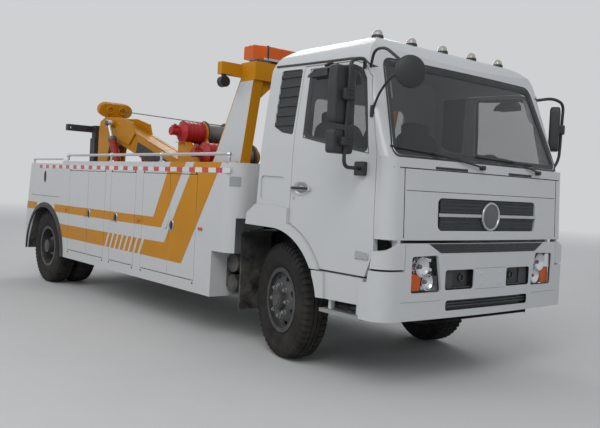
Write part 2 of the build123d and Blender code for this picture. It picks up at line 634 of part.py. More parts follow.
with BuildPart() as cab_shell:
    add(cab_outer)
    add(cab_inner, mode=Mode.SUBTRACT)
    for name, side in SIDES:
        add(door_leaf(DOOR_GAP, side, door_inner_clear), mode=Mode.SUBTRACT)
        add(window_prism(VENT_OUTLINE, 0, side, 24), mode=Mode.SUBTRACT)
        # Arch flare: a ring ahead of the wheel and a straight lip over and behind it
        inner_y, outer_y = side * (CAB_HALF_WIDTH - 60), side * (CAB_HALF_WIDTH + FLARE_OUT)
        with BuildSketch(Plane.XZ.offset(-inner_y)) as ring:
            with Locations((st(0), TYRE_R)):
                Circle(FLARE_R)
                Circle(ARCH_R, mode=Mode.SUBTRACT)
            with BuildLine():
                Polyline(*pts([(-900, -300), (-900, 1400), (0, 1400), (0, 510), (900, 678), (900, -300)]), close=True)
            make_face(mode=Mode.SUBTRACT)
        extrude(ring.sketch, amount=-side * abs(outer_y - inner_y))
        block((400, 900), (inner_y - side * 10, outer_y + side * 10), (500, SKIN_LOW_Z), Mode.SUBTRACT)
        slab([(-387, 1160), (-372, 1262), (-250, 1345), (205, 1330), (205, 1200), (120, ARCH_R + TYRE_R),
              (0, ARCH_R + TYRE_R)], inner_y, outer_y)
        # Arch liner
        with BuildSketch(Plane.XZ.offset(-side * LINER_Y)) as liner:
            with Locations((st(0), TYRE_R)):
                Circle(ARCH_R + 10)
                Circle(ARCH_R, mode=Mode.SUBTRACT)
            with BuildLine():
                Polyline(*pts([(-900, -300), (-900, 1400), (60, 1400), (60, 510), (900, 678), (900, -300)]), close=True)
            make_face(mode=Mode.SUBTRACT)
        extrude(liner.sketch, amount=-side * (LINER_OUTER_Y - LINER_Y))
        # Tilting arm from the floor down to the pivot
        pivot_x, pivot_z = CAB_PIVOT
        slab([(pivot_x + 30, pivot_z - 14), (pivot_x - 10, pivot_z - 34), (pivot_x - 640, CAB_FLOOR_Z + 4),
              (pivot_x - 480, CAB_FLOOR_Z + 4), (pivot_x + 10, pivot_z + 36)],
             side * (CAB_ARM_Y - CAB_ARM_WIDTH / 2), side * (CAB_ARM_Y + CAB_ARM_WIDTH / 2))
        pin(CAB_PIVOT, side * (CAB_ARM_Y - CAB_ARM_WIDTH / 2), side * (CAB_ARM_Y + CAB_ARM_WIDTH / 2), 38)
        pin(CAB_PIVOT, side * (CAB_ARM_Y - CAB_ARM_WIDTH), side * (CAB_ARM_Y + CAB_ARM_WIDTH), 20.3, Mode.SUBTRACT)
        # Shallow scoop behind the door
        slab([(-222, 1378), (-222, 1600), (112, 1592), (146, 1376)], side * (CAB_HALF_WIDTH - SCOOP_DEPTH),
             side * (CAB_HALF_WIDTH + 100), Mode.SUBTRACT, corner=40)
        add(bumper_corner(side))
    add(front_prism(SCREEN_OUTLINE, 900, 1600, 0, 60), mode=Mode.SUBTRACT)
    add(front_prism(GRILLE_OUTLINE, 1300, 1500, 0, 45), mode=Mode.SUBTRACT)
    add(front_prism(REAR_WINDOW_OUTLINE, -400, -100, 0, 60), mode=Mode.SUBTRACT)
save(cab_shell, "cab_shell")

glass_outer = cab_volume(GLASS_INSET, CAB_FLOOR_Z)
glass_inner = cab_volume(GLASS_INSET + GLASS, CAB_FLOOR_Z)

with BuildPart() as cab_glass:
    add(front_prism(SCREEN_OUTLINE, 900, 1600, 0.3, 60))
    add(front_prism(REAR_WINDOW_OUTLINE, -400, -100, 0.3, 60))
    add(glass_outer, mode=Mode.INTERSECT)
    add(glass_inner, mode=Mode.SUBTRACT)
save(cab_glass, "cab_glass")

for side_name, side in SIDES:
    with BuildPart() as cab_door:
        add(door_leaf(0, side, door_inner))
        add(cab_side_outer, mode=Mode.INTERSECT)
        add(window_prism(WINDOW_OUTLINE, 0, side), mode=Mode.SUBTRACT)
        block((222, 477), (side * (CAB_HALF_WIDTH - 2), side * (CAB_HALF_WIDTH + 26)), (1486, 1514))
    save(cab_door, f"cab_door_{side_name}")

    with BuildPart() as door_glass:
        add(window_prism(WINDOW_OUTLINE, 0.3, side))
        add(glass_outer, mode=Mode.INTERSECT)
        add(glass_inner, mode=Mode.SUBTRACT)
    save(door_glass, f"door_glass_{side_name}")

    # Mirrors stand on a bent tube carried by the door.
    arm_y = side * MIRROR_ARM_Y
    with BuildPart() as mirrors:
        tube([(st(950), side * (CAB_TOP_HALF_WIDTH - 30), 2435), (st(1120), side * 1240, 2475), (st(1140), arm_y, 2440),
              (st(1120), arm_y, 1670), (st(1060), side * (CAB_HALF_WIDTH + 20), 1670)], 14, 40)
        block((1005, 1115), (side * (CAB_HALF_WIDTH - 10), side * (CAB_HALF_WIDTH + 42)), (1615, 1725))
        for low, high in MIRROR_HEADS:
            with Locations((st(1105), arm_y + side * 63, (low + high) / 2)):
                Box(190, 94, high - low)
                fillet(edges(Select.LAST), 24)
            block((1112, 1142), (arm_y, arm_y + side * 30), ((low + high) / 2 - 30, (low + high) / 2 + 30))
        mirror_x, mirror_y, mirror_z = ROUND_MIRROR
        with Locations(Location((st(mirror_x), side * mirror_y, mirror_z), (0, 90, 0))):
            Cylinder(ROUND_MIRROR_R, ROUND_MIRROR_DEPTH)
            fillet(edges(Select.LAST).sort_by(Axis.X)[-1], 20)
        tube([(st(1130), side * 1320, 2457), (st(1420), side * 1330, 2500), (st(mirror_x - 20), side * mirror_y, mirror_z)],
             10, 60)
        block((500, 760), (side * (CAB_HALF_WIDTH + 20), side * (CAB_HALF_WIDTH + 130)), (2375, 2490))
        block((600, 640), (side * (CAB_TOP_HALF_WIDTH - 20), side * (CAB_HALF_WIDTH + 30)), (2478, 2498))
        add(cab_skin_clear, mode=Mode.SUBTRACT)
    save(mirrors, f"mirrors_{side_name}")

# Cab inside: dash, wheel on its column, three seats and the rear shelf

with BuildPart() as cab_interior:
    slab([(1010, 1210), (1010, 1660), (1130, 1740), (1270, 1740), (1300, 1640), (1340, 1210)], -1030, 1030)
    tube([(st(1030), DRIVER_Y, 1560), (st(846), DRIVER_Y, 1712)], 32, 0)
    with Locations(Location((st(845), DRIVER_Y, 1712), (0, -50, 0))):
        Torus(215, 17)
        Box(400, 44, 20)
        Box(44, 400, 20)
    for seat_y, seat_width in SEATS:
        low, high = seat_y - seat_width / 2, seat_y + seat_width / 2
        slab([(170, CAB_FLOOR_Z + CAB_WALL), (230, 1390), (640, 1400), (680, CAB_FLOOR_Z + CAB_WALL)], low, high)
        slab([(170, 1400), (150, 1520), (660, 1530), (690, 1400)], low, high, corner=24)
        slab([(20, 2120), (0, 2080), (150, 1440), (270, 1530), (130, 2120)], low, high, corner=20)
    block((CAB_REAR + 90, -20), (-900, 900), (CAB_FLOOR_Z + CAB_WALL, 1420))
    add(cab_lining_clear, mode=Mode.INTERSECT)
save(cab_interior, "cab_interior")

def quarter_vent(side):
    """Gives the louvred panel behind a door: a plate with slats that stand out to the skin."""
    with BuildPart() as slats:
        for slat in range(VENT_SLATS):
            z = VENT_LOW + slat * (VENT_HIGH - VENT_LOW) / (VENT_SLATS - 1)
            block((-120, 280), (side * 1000, side * 1300), (z, z + 26))
        add(cab_outer, mode=Mode.INTERSECT)
        add(glass_outer, mode=Mode.SUBTRACT)
    with BuildPart() as vent:
        add(glass_outer)
        add(door_inner, mode=Mode.SUBTRACT)
        add(slats.part)
        add(window_prism(VENT_OUTLINE, SEAT, side, 24), mode=Mode.INTERSECT)
    return vent.part


# Grille in the front panel and louvres behind the doors

with BuildPart() as cab_vents:
    grille_x = FRONT_X - GRILLE_BACK
    add(front_prism(GRILLE_OUTLINE, grille_x - 8, grille_x, 0.3, 45))
    for bar in range(GRILLE_BARS):
        z = GRILLE_LOW + (bar + 0.5) * (GRILLE_HIGH - GRILLE_LOW) / GRILLE_BARS
        block((grille_x - 1, grille_x + 16), (-GRILLE_HALF + 24, GRILLE_HALF - 24), (z - 6, z + 6))
    block((grille_x - 1, grille_x + 24), (-GRILLE_HALF + 1, GRILLE_HALF - 1), (1335, 1365))
    with Locations(Location((st(grille_x + 14), 0, 1347), (0, 90, 0))):
        Cylinder(EMBLEM_R, 28)
    for name, side in SIDES:
        add(quarter_vent(side))
save(cab_vents, "cab_vents")

with BuildPart() as marker_lamps:
    for y in MARKER_YS:
        block((MARKER_STATION - 55, MARKER_STATION + 55), (y - 75, y + 75), (2690, MARKER_TOP_Z - abs(y) * 0.03))
    add(cab_skin_clear, mode=Mode.SUBTRACT)
save(marker_lamps, "marker_lamps")

# Step panels below the doors, fixed to the frame

with BuildPart() as step_sills:
    for name, side in SIDES:
        slab([(600, 640), (560, 852), (1136, 852), (1136, 650)], side * 1090, side * (CAB_HALF_WIDTH + 10))
        slab([(600, 640), (560, 852), (700, 852), (720, 645)], side * 1090, side * (CAB_HALF_WIDTH + FLARE_OUT))
        pin((0, TYRE_R), side * 1000, side * 1300, ARCH_R, Mode.SUBTRACT)
        block((665, 1125), (side * 960, side * (CAB_HALF_WIDTH + 14)), (536, 562))
        block((735, 765), (side * 1092, side * 1130), (560, 660))
        block((1050, 1090), (side * 1092, side * 1130), (560, 660))
        block((860, 900), (side * (RAIL_OUTER_Y + SEAT), side * 1092), (760, 800))
save(step_sills, "step_sills")

# Bumper

with BuildPart() as front_bumper:
    extrude(bumper_plan(0, BUMPER_LOW_Z), amount=BUMPER_TOP_Z - BUMPER_LOW_Z)
    extrude(bumper_plan(BUMPER_WALL, BUMPER_LOW_Z - 1), amount=BUMPER_TOP_Z - BUMPER_LOW_Z + 2, mode=Mode.SUBTRACT)
    for name, side in SIDES:
        # The ends are pieces of their own, and their upper corners go with the cab.
        block((900, 1500), (side * BUMPER_SEAM_Y, side * (BUMPER_SEAM_Y + SEAT)), (400, 1300), Mode.SUBTRACT)
        block((900, 1500), (side * BUMPER_SEAM_Y, side * 1300), (CORNER_LOW_Z - CORNER_GAP, 1300), Mode.SUBTRACT)
        slab([(900, 400), (900, 1300), (1300, 1300), (1255, 1020), (1226, 840), (1145, 835), (1143, 640), (1190, 400)],
             side * 1100, side * 1300, Mode.SUBTRACT)
        add(front_prism([(side * LAMP_IN, 765), (side * (LAMP_IN + 60), LAMP_HIGH), (side * LAMP_OUT, LAMP_HIGH - 8),
                         (side * LAMP_OUT, LAMP_LOW)], 1300, 1500, -SEAT, 20), mode=Mode.SUBTRACT)
        block((RAIL_FRONT - 60, BUMPER_FRONT - BUMPER_WALL + 2), (side * (RAIL_OUTER_Y + 20), side * (RAIL_OUTER_Y + 44)),
              (770, 860))
        block((RAIL_FRONT - 60, RAIL_FRONT - 20), (side * (RAIL_OUTER_Y + SEAT), side * (RAIL_OUTER_Y + 44)), (770, 860))
    add(front_prism([(-556, 775), (-556, 930), (-215, 930), (-215, 775)], 1300, 1500, 0, 22), mode=Mode.SUBTRACT)
    add(front_prism([(215, 775), (215, 930), (556, 930), (556, 775)], 1300, 1500, 0, 22), mode=Mode.SUBTRACT)
    add(front_prism([(-540, 615), (-540, 695), (540, 695), (540, 615)], 1300, 1500, 0, 22), mode=Mode.SUBTRACT)
    block((BUMPER_FRONT - 60, BUMPER_FRONT - BUMPER_WALL - 16), (-564, 564), (600, 945))
    block((BUMPER_FRONT - 45, BUMPER_FRONT - BUMPER_WALL + 2), (-200, 200), (775, 930))
save(front_bumper, "front_bumper")

with BuildPart() as headlamps:
    for name, side in SIDES:
        add(front_prism([(side * LAMP_IN, 765), (side * (LAMP_IN + 60), LAMP_HIGH), (side * LAMP_OUT, LAMP_HIGH - 8),
                         (side * LAMP_OUT, LAMP_LOW)], 1300, BUMPER_FRONT - 40, 0, 20))
save(headlamps, "headlamps")

with BuildPart() as mudguards:
    for name, side in SIDES:
        slab([(-640, 330), (-640, 1040), (-600, 1090), (-520, 1090), (-520, 1074), (-592, 1070), (-622, 1030),
              (-622, 330)], side * 700, side * 1040)
        block((-640, -560), (side * (RAIL_OUTER_Y + 0.3), side * 705), (860, 900))
save(mudguards, "mudguards")

# Body sides: hollow lockers with a round front corner, a step at the front and an arch over the rear wheels

for side_name, side in SIDES:
    inner, outer = side * BODY_INNER_Y, side * BODY_HALF_WIDTH
    with BuildPart() as side_box:
        with BuildSketch(Plane.XY.offset(BODY_LOW_Z)) as box_plan:
            with BuildLine():
                Line((st(BODY_REAR), inner), (st(BODY_REAR), outer))
                Line((st(BODY_REAR), outer), (st(BODY_FRONT - BODY_CORNER), outer))
                ThreePointArc((st(BODY_FRONT - BODY_CORNER), outer),
                              (st(BODY_FRONT - BODY_CORNER * 0.293), outer - side * BODY_CORNER * 0.293),
                              (st(BODY_FRONT), outer - side * BODY_CORNER))
                Line((st(BODY_FRONT), outer - side * BODY_CORNER), (st(BODY_FRONT), inner))
                Line((st(BODY_FRONT), inner), (st(BODY_REAR), inner))
            make_face()
        extrude(amount=BODY_TOP_Z - BODY_LOW_Z)
        slab(REAR_ARCH, side * 500, side * 1300, Mode.SUBTRACT, corner=50)
        block((-870, 0), (inner - side, outer + side), (BODY_LOW_Z - 1, 868), Mode.SUBTRACT)
        block((-870, 0), (inner - side, side * 1150), (867, 1195), Mode.SUBTRACT)
        block((BODY_REAR - 1, -4680), (inner - side, outer + side), (1678, BODY_TOP_Z + 1), Mode.SUBTRACT)
        slab([(BODY_REAR - 1, 900), (-5880, 1690), (BODY_REAR - 1, 1690)], inner - side, outer + side, Mode.SUBTRACT)
        for rear, front in LOCKERS:
            block((rear - LEAF_GAP, front + LEAF_GAP), (side * (BODY_HALF_WIDTH - LEAF_THICKNESS - SEAT), outer + side),
                  (LEAF_LOW_Z - LEAF_GAP, LEAF_HIGH_Z + LEAF_GAP), Mode.SUBTRACT)
            block((rear + 20, front - 20), (inner + side * BODY_WALL, outer + side),
                  (LEAF_LOW_Z + 20, LEAF_HIGH_Z - 20), Mode.SUBTRACT)
    save(side_box, f"side_box_{side_name}")

    for leaf_name, rear, front, hinge, latch in LEAVES:
        with BuildPart() as leaf:
            block((rear, front), (side * (BODY_HALF_WIDTH - LEAF_THICKNESS), outer), (LEAF_LOW_Z, LEAF_HIGH_Z))
            with Locations(Location((st(latch), side * (BODY_HALF_WIDTH + 3), 1055), (90, 0, 0))):
                Cylinder(44, 12)
        save(leaf, f"leaf_{leaf_name}_{side_name}")

# Deck between the boxes, with a bulkhead at its front

with BuildPart() as deck:
    block((-5060, DECK_FRONT), (-BODY_INNER_Y + 0.3, BODY_INNER_Y - 0.3), (DECK_Z, DECK_Z + DECK_PLATE))
    block((DECK_FRONT - DECK_PLATE, DECK_FRONT), (-BODY_INNER_Y + 0.3, BODY_INNER_Y - 0.3),
          (DECK_Z + DECK_PLATE + SEAT, BODY_TOP_Z))
    for name, side in SIDES:
        block((BODY_REAR, -5060 - SEAT), (side * (SLOT_HALF_WIDTH + 40), side * (BODY_INNER_Y - 0.3)),
              (DECK_Z, DECK_Z + DECK_PLATE))
save(deck, "deck")

with BuildPart() as rails:
    for name, side in SIDES:
        y = side * (BODY_HALF_WIDTH - 28)
        tube([(st(-4550), y, BODY_TOP_Z), (st(-4550), y, 1790), (st(-680), y, 1790), (st(-680), y, BODY_TOP_Z)], 16, 40)
        for station in (-3215, -1980):
            with Locations((st(station), y, (BODY_TOP_Z + 1790) / 2)):
                Cylinder(13, 1790 - BODY_TOP_Z)
        tube([(st(-5840), y, 1678), (st(-5840), y, 1740), (st(-4690), y, 1740), (st(-4690), y, 1710)], 12, 25)
save(rails, "rails")

with BuildPart() as gantry:
    for name, side in SIDES:
        slab([(-1274, BODY_TOP_Z), (-776, BODY_TOP_Z), (-616, 2520), (-600, 2670), (-837, 2670), (-837, 2520)],
             side * 890, side * 1000)
        with BuildSketch(Plane.YZ.offset(st(-837))):
            with BuildLine():
                Polyline((side * 895, 2330), (side * 895, 2510), (side * 700, 2510), close=True)
            make_face()
        extrude(amount=180)
    block((-837, -600), (-1000, 1000), (2500, 2670))
    block((-915, -837), (-1215, 1215), (2545, 2660))
save(gantry, "gantry")

with BuildPart() as light_bar:
    with BuildSketch(Plane.XY.offset(2702)):
        with BuildLine():
            Polyline((st(-850), -850), (st(-800), -1000), (st(-650), -1000), (st(-600), -850), (st(-600), 850),
                     (st(-650), 1000), (st(-800), 1000), (st(-850), 850), close=True)
        make_face()
    extrude(amount=130)
    fillet(edges().filter_by(Axis.Z, reverse=True).group_by(Axis.Z)[-1], 22)
    block((-780, -670), (-700, -620), (2670, 2702))
    block((-780, -670), (620, 700), (2670, 2702))
save(light_bar, "light_bar")

with BuildPart() as work_lamps:
    for name, side in SIDES:
        with Locations(Location((st(-880), side * 1165, 2478), (0, 90, 0))):
            Cylinder(52, 70)
        block((-900, -860), (side * 1150, side * 1180), (2520, 2545))
        block((BODY_REAR - 24, BODY_REAR), (side * 1000, side * 1200), (700, 900))
save(work_lamps, "work_lamps")

# Winch frame: two plates that carry the boom's foot and both winches

with BuildPart() as winch_frame:
    floor_z = DECK_Z + DECK_PLATE
    foot_z = floor_z + FOOT_PLATE + SEAT
    block((-3160, -1980), (-330, 330), (floor_z, floor_z + FOOT_PLATE))
    for name, side in SIDES:
        y0, y1 = side * FRAME_INNER_Y, side * (FRAME_INNER_Y + FRAME_PLATE)
        slab([(-3160, foot_z), (-3080, 1600), (-3010, 2010), (-2960, 2080), (-2740, 2080), (-2620, 1900),
              (-2420, 1760), (-2120, 1760), (-1980, foot_z)], y0, y1)
        for winch_name, station, height, length in WINCHES:
            pin((station, height), y0, y1, WINCH_R + 20)
        for winch_name, station, height, length in WINCHES:
            pin((station, height), side * 100, side * 300, DRUM_SHAFT_R + 1, Mode.SUBTRACT)
        for station in (-3120, -2500, -2060):
            slab([(station, foot_z), (station + 30, foot_z), (station + 30, 1420), (station, 1420)],
                 y1 + side * SEAT, side * 330)
        # Lift cylinder's foot: a plate, two lugs and the pin between them
        foot_x, foot_height = LUFF_FOOT
        for way in (-1, 1):
            block((foot_x - 110, foot_x + 110), (side * LUFF_Y + way * 66, side * LUFF_Y + way * 90),
                  (floor_z, foot_height + 50))
        pin(LUFF_FOOT, side * (LUFF_Y - 90), side * (LUFF_Y + 90), LUFF_PIN_R)
        block((foot_x - 160, foot_x + 160), (side * (LUFF_Y - 100), side * (LUFF_Y + 100)), (floor_z, floor_z + FOOT_PLATE))
    block((-2430, -2060), (-FRAME_INNER_Y + SEAT, FRAME_INNER_Y - SEAT), (1560, 1576))
    pin(BOOM_PIVOT, -FRAME_INNER_Y + SEAT, FRAME_INNER_Y - SEAT, BOOM_PIN_R)
save(winch_frame, "winch_frame")

with BuildPart() as winch_gearboxes:
    start = FRAME_INNER_Y + FRAME_PLATE
    for name_, station, height, length in WINCHES:
        pin((station, height), -start, -start - length, WINCH_R)
        pin((station, height), -start - length, -start - length - 60, WINCH_R * 0.55)
        pin((station, height), start, start + 60, WINCH_R * 0.8)
        pin((station, height), -start + 1, -start - 30, DRUM_SHAFT_R + 1, Mode.SUBTRACT)
        pin((station, height), start - 1, start + 30, DRUM_SHAFT_R + 1, Mode.SUBTRACT)
save(winch_gearboxes, "winch_gearboxes")

for winch_name, station, height, length in WINCHES:
    with BuildPart() as drum:
        for name, side in SIDES:
            pin((station, height), side * (FRAME_INNER_Y - 19), side * (FRAME_INNER_Y - 5), DRUM_FLANGE_R)
        pin((station, height), -FRAME_INNER_Y + 10, FRAME_INNER_Y - 10, DRUM_R)
        pin((station, height), -FRAME_INNER_Y - 40, FRAME_INNER_Y + 40, DRUM_SHAFT_R)
    save(drum, f"drum_{winch_name}")

# Boom: outer box with side wings and the rear leg, inner box with the rope head

SLOPE = radians(BOOM_SLOPE)


def on_boom(along, above):
    """Gives the station and height of a point along and above the boom's centre line."""
    return (BOOM_PIVOT[0] - along * cos(SLOPE) + above * sin(SLOPE),
            BOOM_PIVOT[1] + along * sin(SLOPE) + above * cos(SLOPE))


def boom_slab(s0, s1, n0, n1, y0, y1, mode=Mode.ADD):
    """Adds a box between two lengths and two heights of the boom."""
    slab([on_boom(s0, n0), on_boom(s0, n1), on_boom(s1, n1), on_boom(s1, n0)], y0, y1, mode)


half_w, half_d = BOOM_WIDTH / 2, BOOM_DEPTH / 2
mouth = BOOM_WALL + SLIDE_GAP - SEAT
with BuildPart() as boom:
    boom_slab(-110, BOOM_LENGTH, -half_d, half_d, -half_w, half_w)
    boom_slab(INNER_START - 200, BOOM_LENGTH - COLLAR, -half_d + BOOM_WALL, half_d - BOOM_WALL, -half_w + BOOM_WALL,
              half_w - BOOM_WALL, Mode.SUBTRACT)
    boom_slab(BOOM_LENGTH - COLLAR - 1, BOOM_LENGTH + 1, -half_d + mouth, half_d - mouth, -half_w + mouth,
              half_w - mouth, Mode.SUBTRACT)
    pin(BOOM_PIVOT, -FRAME_INNER_Y + 5, FRAME_INNER_Y - 5, 75)
    pin(BOOM_PIVOT, -FRAME_INNER_Y, FRAME_INNER_Y, BOOM_PIN_R + SEAT, Mode.SUBTRACT)
    for name, side in SIDES:
        # Wing plate outside the boom and the rear leg, with the lift cylinder's boss
        slab([(-4760, 2170), (-4840, 2340), (-5250, 2435), (-5760, 2460), (-5950, 2400), (-6000, 2260), (-6000, 950),
              (-6120, 920), (-6175, 870), (-6175, 820), (-6120, 780), (-5960, 765), (-5760, 765), (-5710, 880),
              (-5640, 1900), (-5560, 2080), (-5380, 2110), (-4930, 2020)], side * WING_INNER_Y, side * WING_OUTER_Y)
        pin(LUFF_EYE, side * (WING_OUTER_Y - 1), side * (LUFF_Y - 42), 58)
        boom_slab(1900, BOOM_LENGTH, -90, 90, side * (half_w - 1), side * (WING_INNER_Y - SEAT))
    # Rear leg: a box section between the wings, open below
    block((LEG_REAR, LEG_FRONT), (-WING_INNER_Y + SEAT, WING_INNER_Y - SEAT), (LEG_LOW_Z, LEG_HIGH_Z))
    block((LEG_REAR + LEG_WALL, LEG_FRONT - LEG_WALL), (-WING_INNER_Y + LEG_WALL, WING_INNER_Y - LEG_WALL),
          (LEG_LOW_Z - 1, LEG_HIGH_Z - LEG_WALL), Mode.SUBTRACT)
    for way in (-1, 1):
        block((TILT_FOOT[0] - 45, LEG_REAR - SEAT), (way * 50, way * 70), (TILT_FOOT[1] - 50, TILT_FOOT[1] + 50))
    block((LEG_REAR - 20, LEG_REAR - SEAT), (-70, 70), (TILT_FOOT[1] - 70, TILT_FOOT[1] + 70))
    pin(TILT_FOOT, -70, 70, 18)
    pin(ARM_PIVOT, -WING_INNER_Y + SEAT, WING_INNER_Y - SEAT, 30)
save(boom, "boom")

with BuildPart() as boom_head:
    gap = BOOM_WALL + SLIDE_GAP
    boom_slab(INNER_START, INNER_END, -half_d + gap, half_d - gap, -half_w + gap, half_w - gap)
    boom_slab(INNER_START - 1, INNER_END - 60, -half_d + gap + 14, half_d - gap - 14, -half_w + gap + 14,
              half_w - gap - 14, Mode.SUBTRACT)
    boom_slab(INNER_END - 110, INNER_END, half_d - gap - 2, half_d + 185, -200, 200)
    with Locations(*[Location((st(on_boom(INNER_END - 55, 235)[0]), y, on_boom(INNER_END - 55, 235)[1]),
                              (0, 90 + BOOM_SLOPE, 0)) for y in (-100, 100)]):
        Cylinder(36, 160, mode=Mode.SUBTRACT)
save(boom_head, "boom_head")

# Luff cylinders: barrels that swing on the deck's lugs, rods that slide in them

luff_dx, luff_dz = LUFF_EYE[0] - LUFF_FOOT[0], LUFF_EYE[1] - LUFF_FOOT[1]
luff_length = hypot(luff_dx, luff_dz)


def on_luff(distance):
    """Gives the place at a distance from the luff cylinder's foot."""
    return (LUFF_FOOT[0] + luff_dx * distance / luff_length, LUFF_FOOT[1] + luff_dz * distance / luff_length)


with BuildPart() as luff_barrels:
    for name, side in SIDES:
        y = side * LUFF_Y
        strut(on_luff(30), on_luff(LUFF_BARREL_LENGTH), y, LUFF_BARREL_R)
        pin(LUFF_FOOT, y - 60, y + 60, 52)
        pin(LUFF_FOOT, y - 61, y + 61, LUFF_PIN_R + SEAT, Mode.SUBTRACT)
        strut(on_luff(72), on_luff(LUFF_BARREL_LENGTH + 1), y, LUFF_ROD_R + 1, Mode.SUBTRACT)
save(luff_barrels, "luff_barrels")

with BuildPart() as luff_rods:
    for name, side in SIDES:
        y = side * LUFF_Y
        strut(on_luff(luff_length - LUFF_ROD_LENGTH), on_luff(luff_length), y, LUFF_ROD_R)
        pin(LUFF_EYE, y - 36, y + 36, 50)
save(luff_rods, "luff_rods")

# Underlift: arm, its slide, the crossbar and the tilt cylinder

face_x = ARM_PIVOT[0] - ARM_FACE
back_x = face_x - ARM_DEPTH
slide_gap = ARM_WALL + SLIDE_GAP
with BuildPart() as underlift_arm:
    block((back_x, face_x), (-ARM_WIDTH / 2, ARM_WIDTH / 2), (ARM_LOW_Z, ARM_HIGH_Z))
    block((back_x + ARM_WALL, face_x - ARM_WALL), (-ARM_WIDTH / 2 + ARM_WALL, ARM_WIDTH / 2 - ARM_WALL),
          (SLIDE_LOW_Z - 60, ARM_HIGH_Z - COLLAR), Mode.SUBTRACT)
    block((back_x + slide_gap - SEAT, face_x - slide_gap + SEAT),
          (-ARM_WIDTH / 2 + slide_gap - SEAT, ARM_WIDTH / 2 - slide_gap + SEAT), (ARM_HIGH_Z - COLLAR - 1, ARM_HIGH_Z + 1),
          Mode.SUBTRACT)
    for name, side in SIDES:
        slab([(face_x - 30, 1130), (-6190, 1010), (-6150, 960), (-6090, 900), (-6068, 850), (-6090, 800), (-6150, 790),
              (face_x - 30, ARM_LOW_Z)], side * 62, side * (ARM_WIDTH / 2))
        pin(TILT_EYE, side * 38, side * 63, 30)
        pin(ARM_PIVOT, side * 60, side * (ARM_WIDTH / 2 + 15), 60)
    pin(ARM_PIVOT, -200, 200, 30.3, Mode.SUBTRACT)
save(underlift_arm, "underlift_arm")

with BuildPart() as underlift_slide:
    block((back_x + slide_gap, face_x - slide_gap), (-ARM_WIDTH / 2 + slide_gap, ARM_WIDTH / 2 - slide_gap),
          (SLIDE_LOW_Z, SLIDE_HIGH_Z))
    with Locations(Location((st(back_x), 0, SWIVEL_Z), (0, 90, 0))):
        Cylinder(30.3, 600, mode=Mode.SUBTRACT)
save(underlift_slide, "underlift_slide")

with BuildPart() as crossbar:
    block((CROSSBAR_FACE - CROSSBAR_SIZE, CROSSBAR_FACE), (-CROSSBAR_LENGTH / 2, CROSSBAR_LENGTH / 2),
          (SWIVEL_Z - CROSSBAR_SIZE / 2, SWIVEL_Z + CROSSBAR_SIZE / 2))
    with Locations(Location((st((CROSSBAR_FACE + face_x) / 2), 0, SWIVEL_Z), (0, 90, 0))):
        Cylinder(30, face_x - CROSSBAR_FACE)
    with Locations(*[Location((st(CROSSBAR_FACE), y, SWIVEL_Z), (0, 90, 0))
                     for y in (-CROSSBAR_LENGTH / 2 + 60, CROSSBAR_LENGTH / 2 - 60)]):
        Cylinder(FORK_PIN_R, 400, mode=Mode.SUBTRACT)
save(crossbar, "crossbar")

tilt_dx, tilt_dz = TILT_EYE[0] - TILT_FOOT[0], TILT_EYE[1] - TILT_FOOT[1]
tilt_length = hypot(tilt_dx, tilt_dz)


def on_tilt(distance):
    """Gives the place at a distance from the tilt cylinder's foot."""
    return (TILT_FOOT[0] + tilt_dx * distance / tilt_length, TILT_FOOT[1] + tilt_dz * distance / tilt_length)


with BuildPart() as tilt_barrel:
    strut(on_tilt(20), on_tilt(TILT_BARREL_LENGTH), 0, TILT_BARREL_R)
    pin(TILT_FOOT, -42, 42, 38)
    pin(TILT_FOOT, -45, 45, 18.3, Mode.SUBTRACT)
    strut(on_tilt(70), on_tilt(TILT_BARREL_LENGTH + 1), 0, TILT_ROD_R + 1, Mode.SUBTRACT)
save(tilt_barrel, "tilt_barrel")

with BuildPart() as tilt_rod:
    strut(on_tilt(tilt_length - TILT_ROD_LENGTH), on_tilt(tilt_length), 0, TILT_ROD_R)
    pin(TILT_EYE, -32, 32, 34)
save(tilt_rod, "tilt_rod")
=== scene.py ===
import json
import math

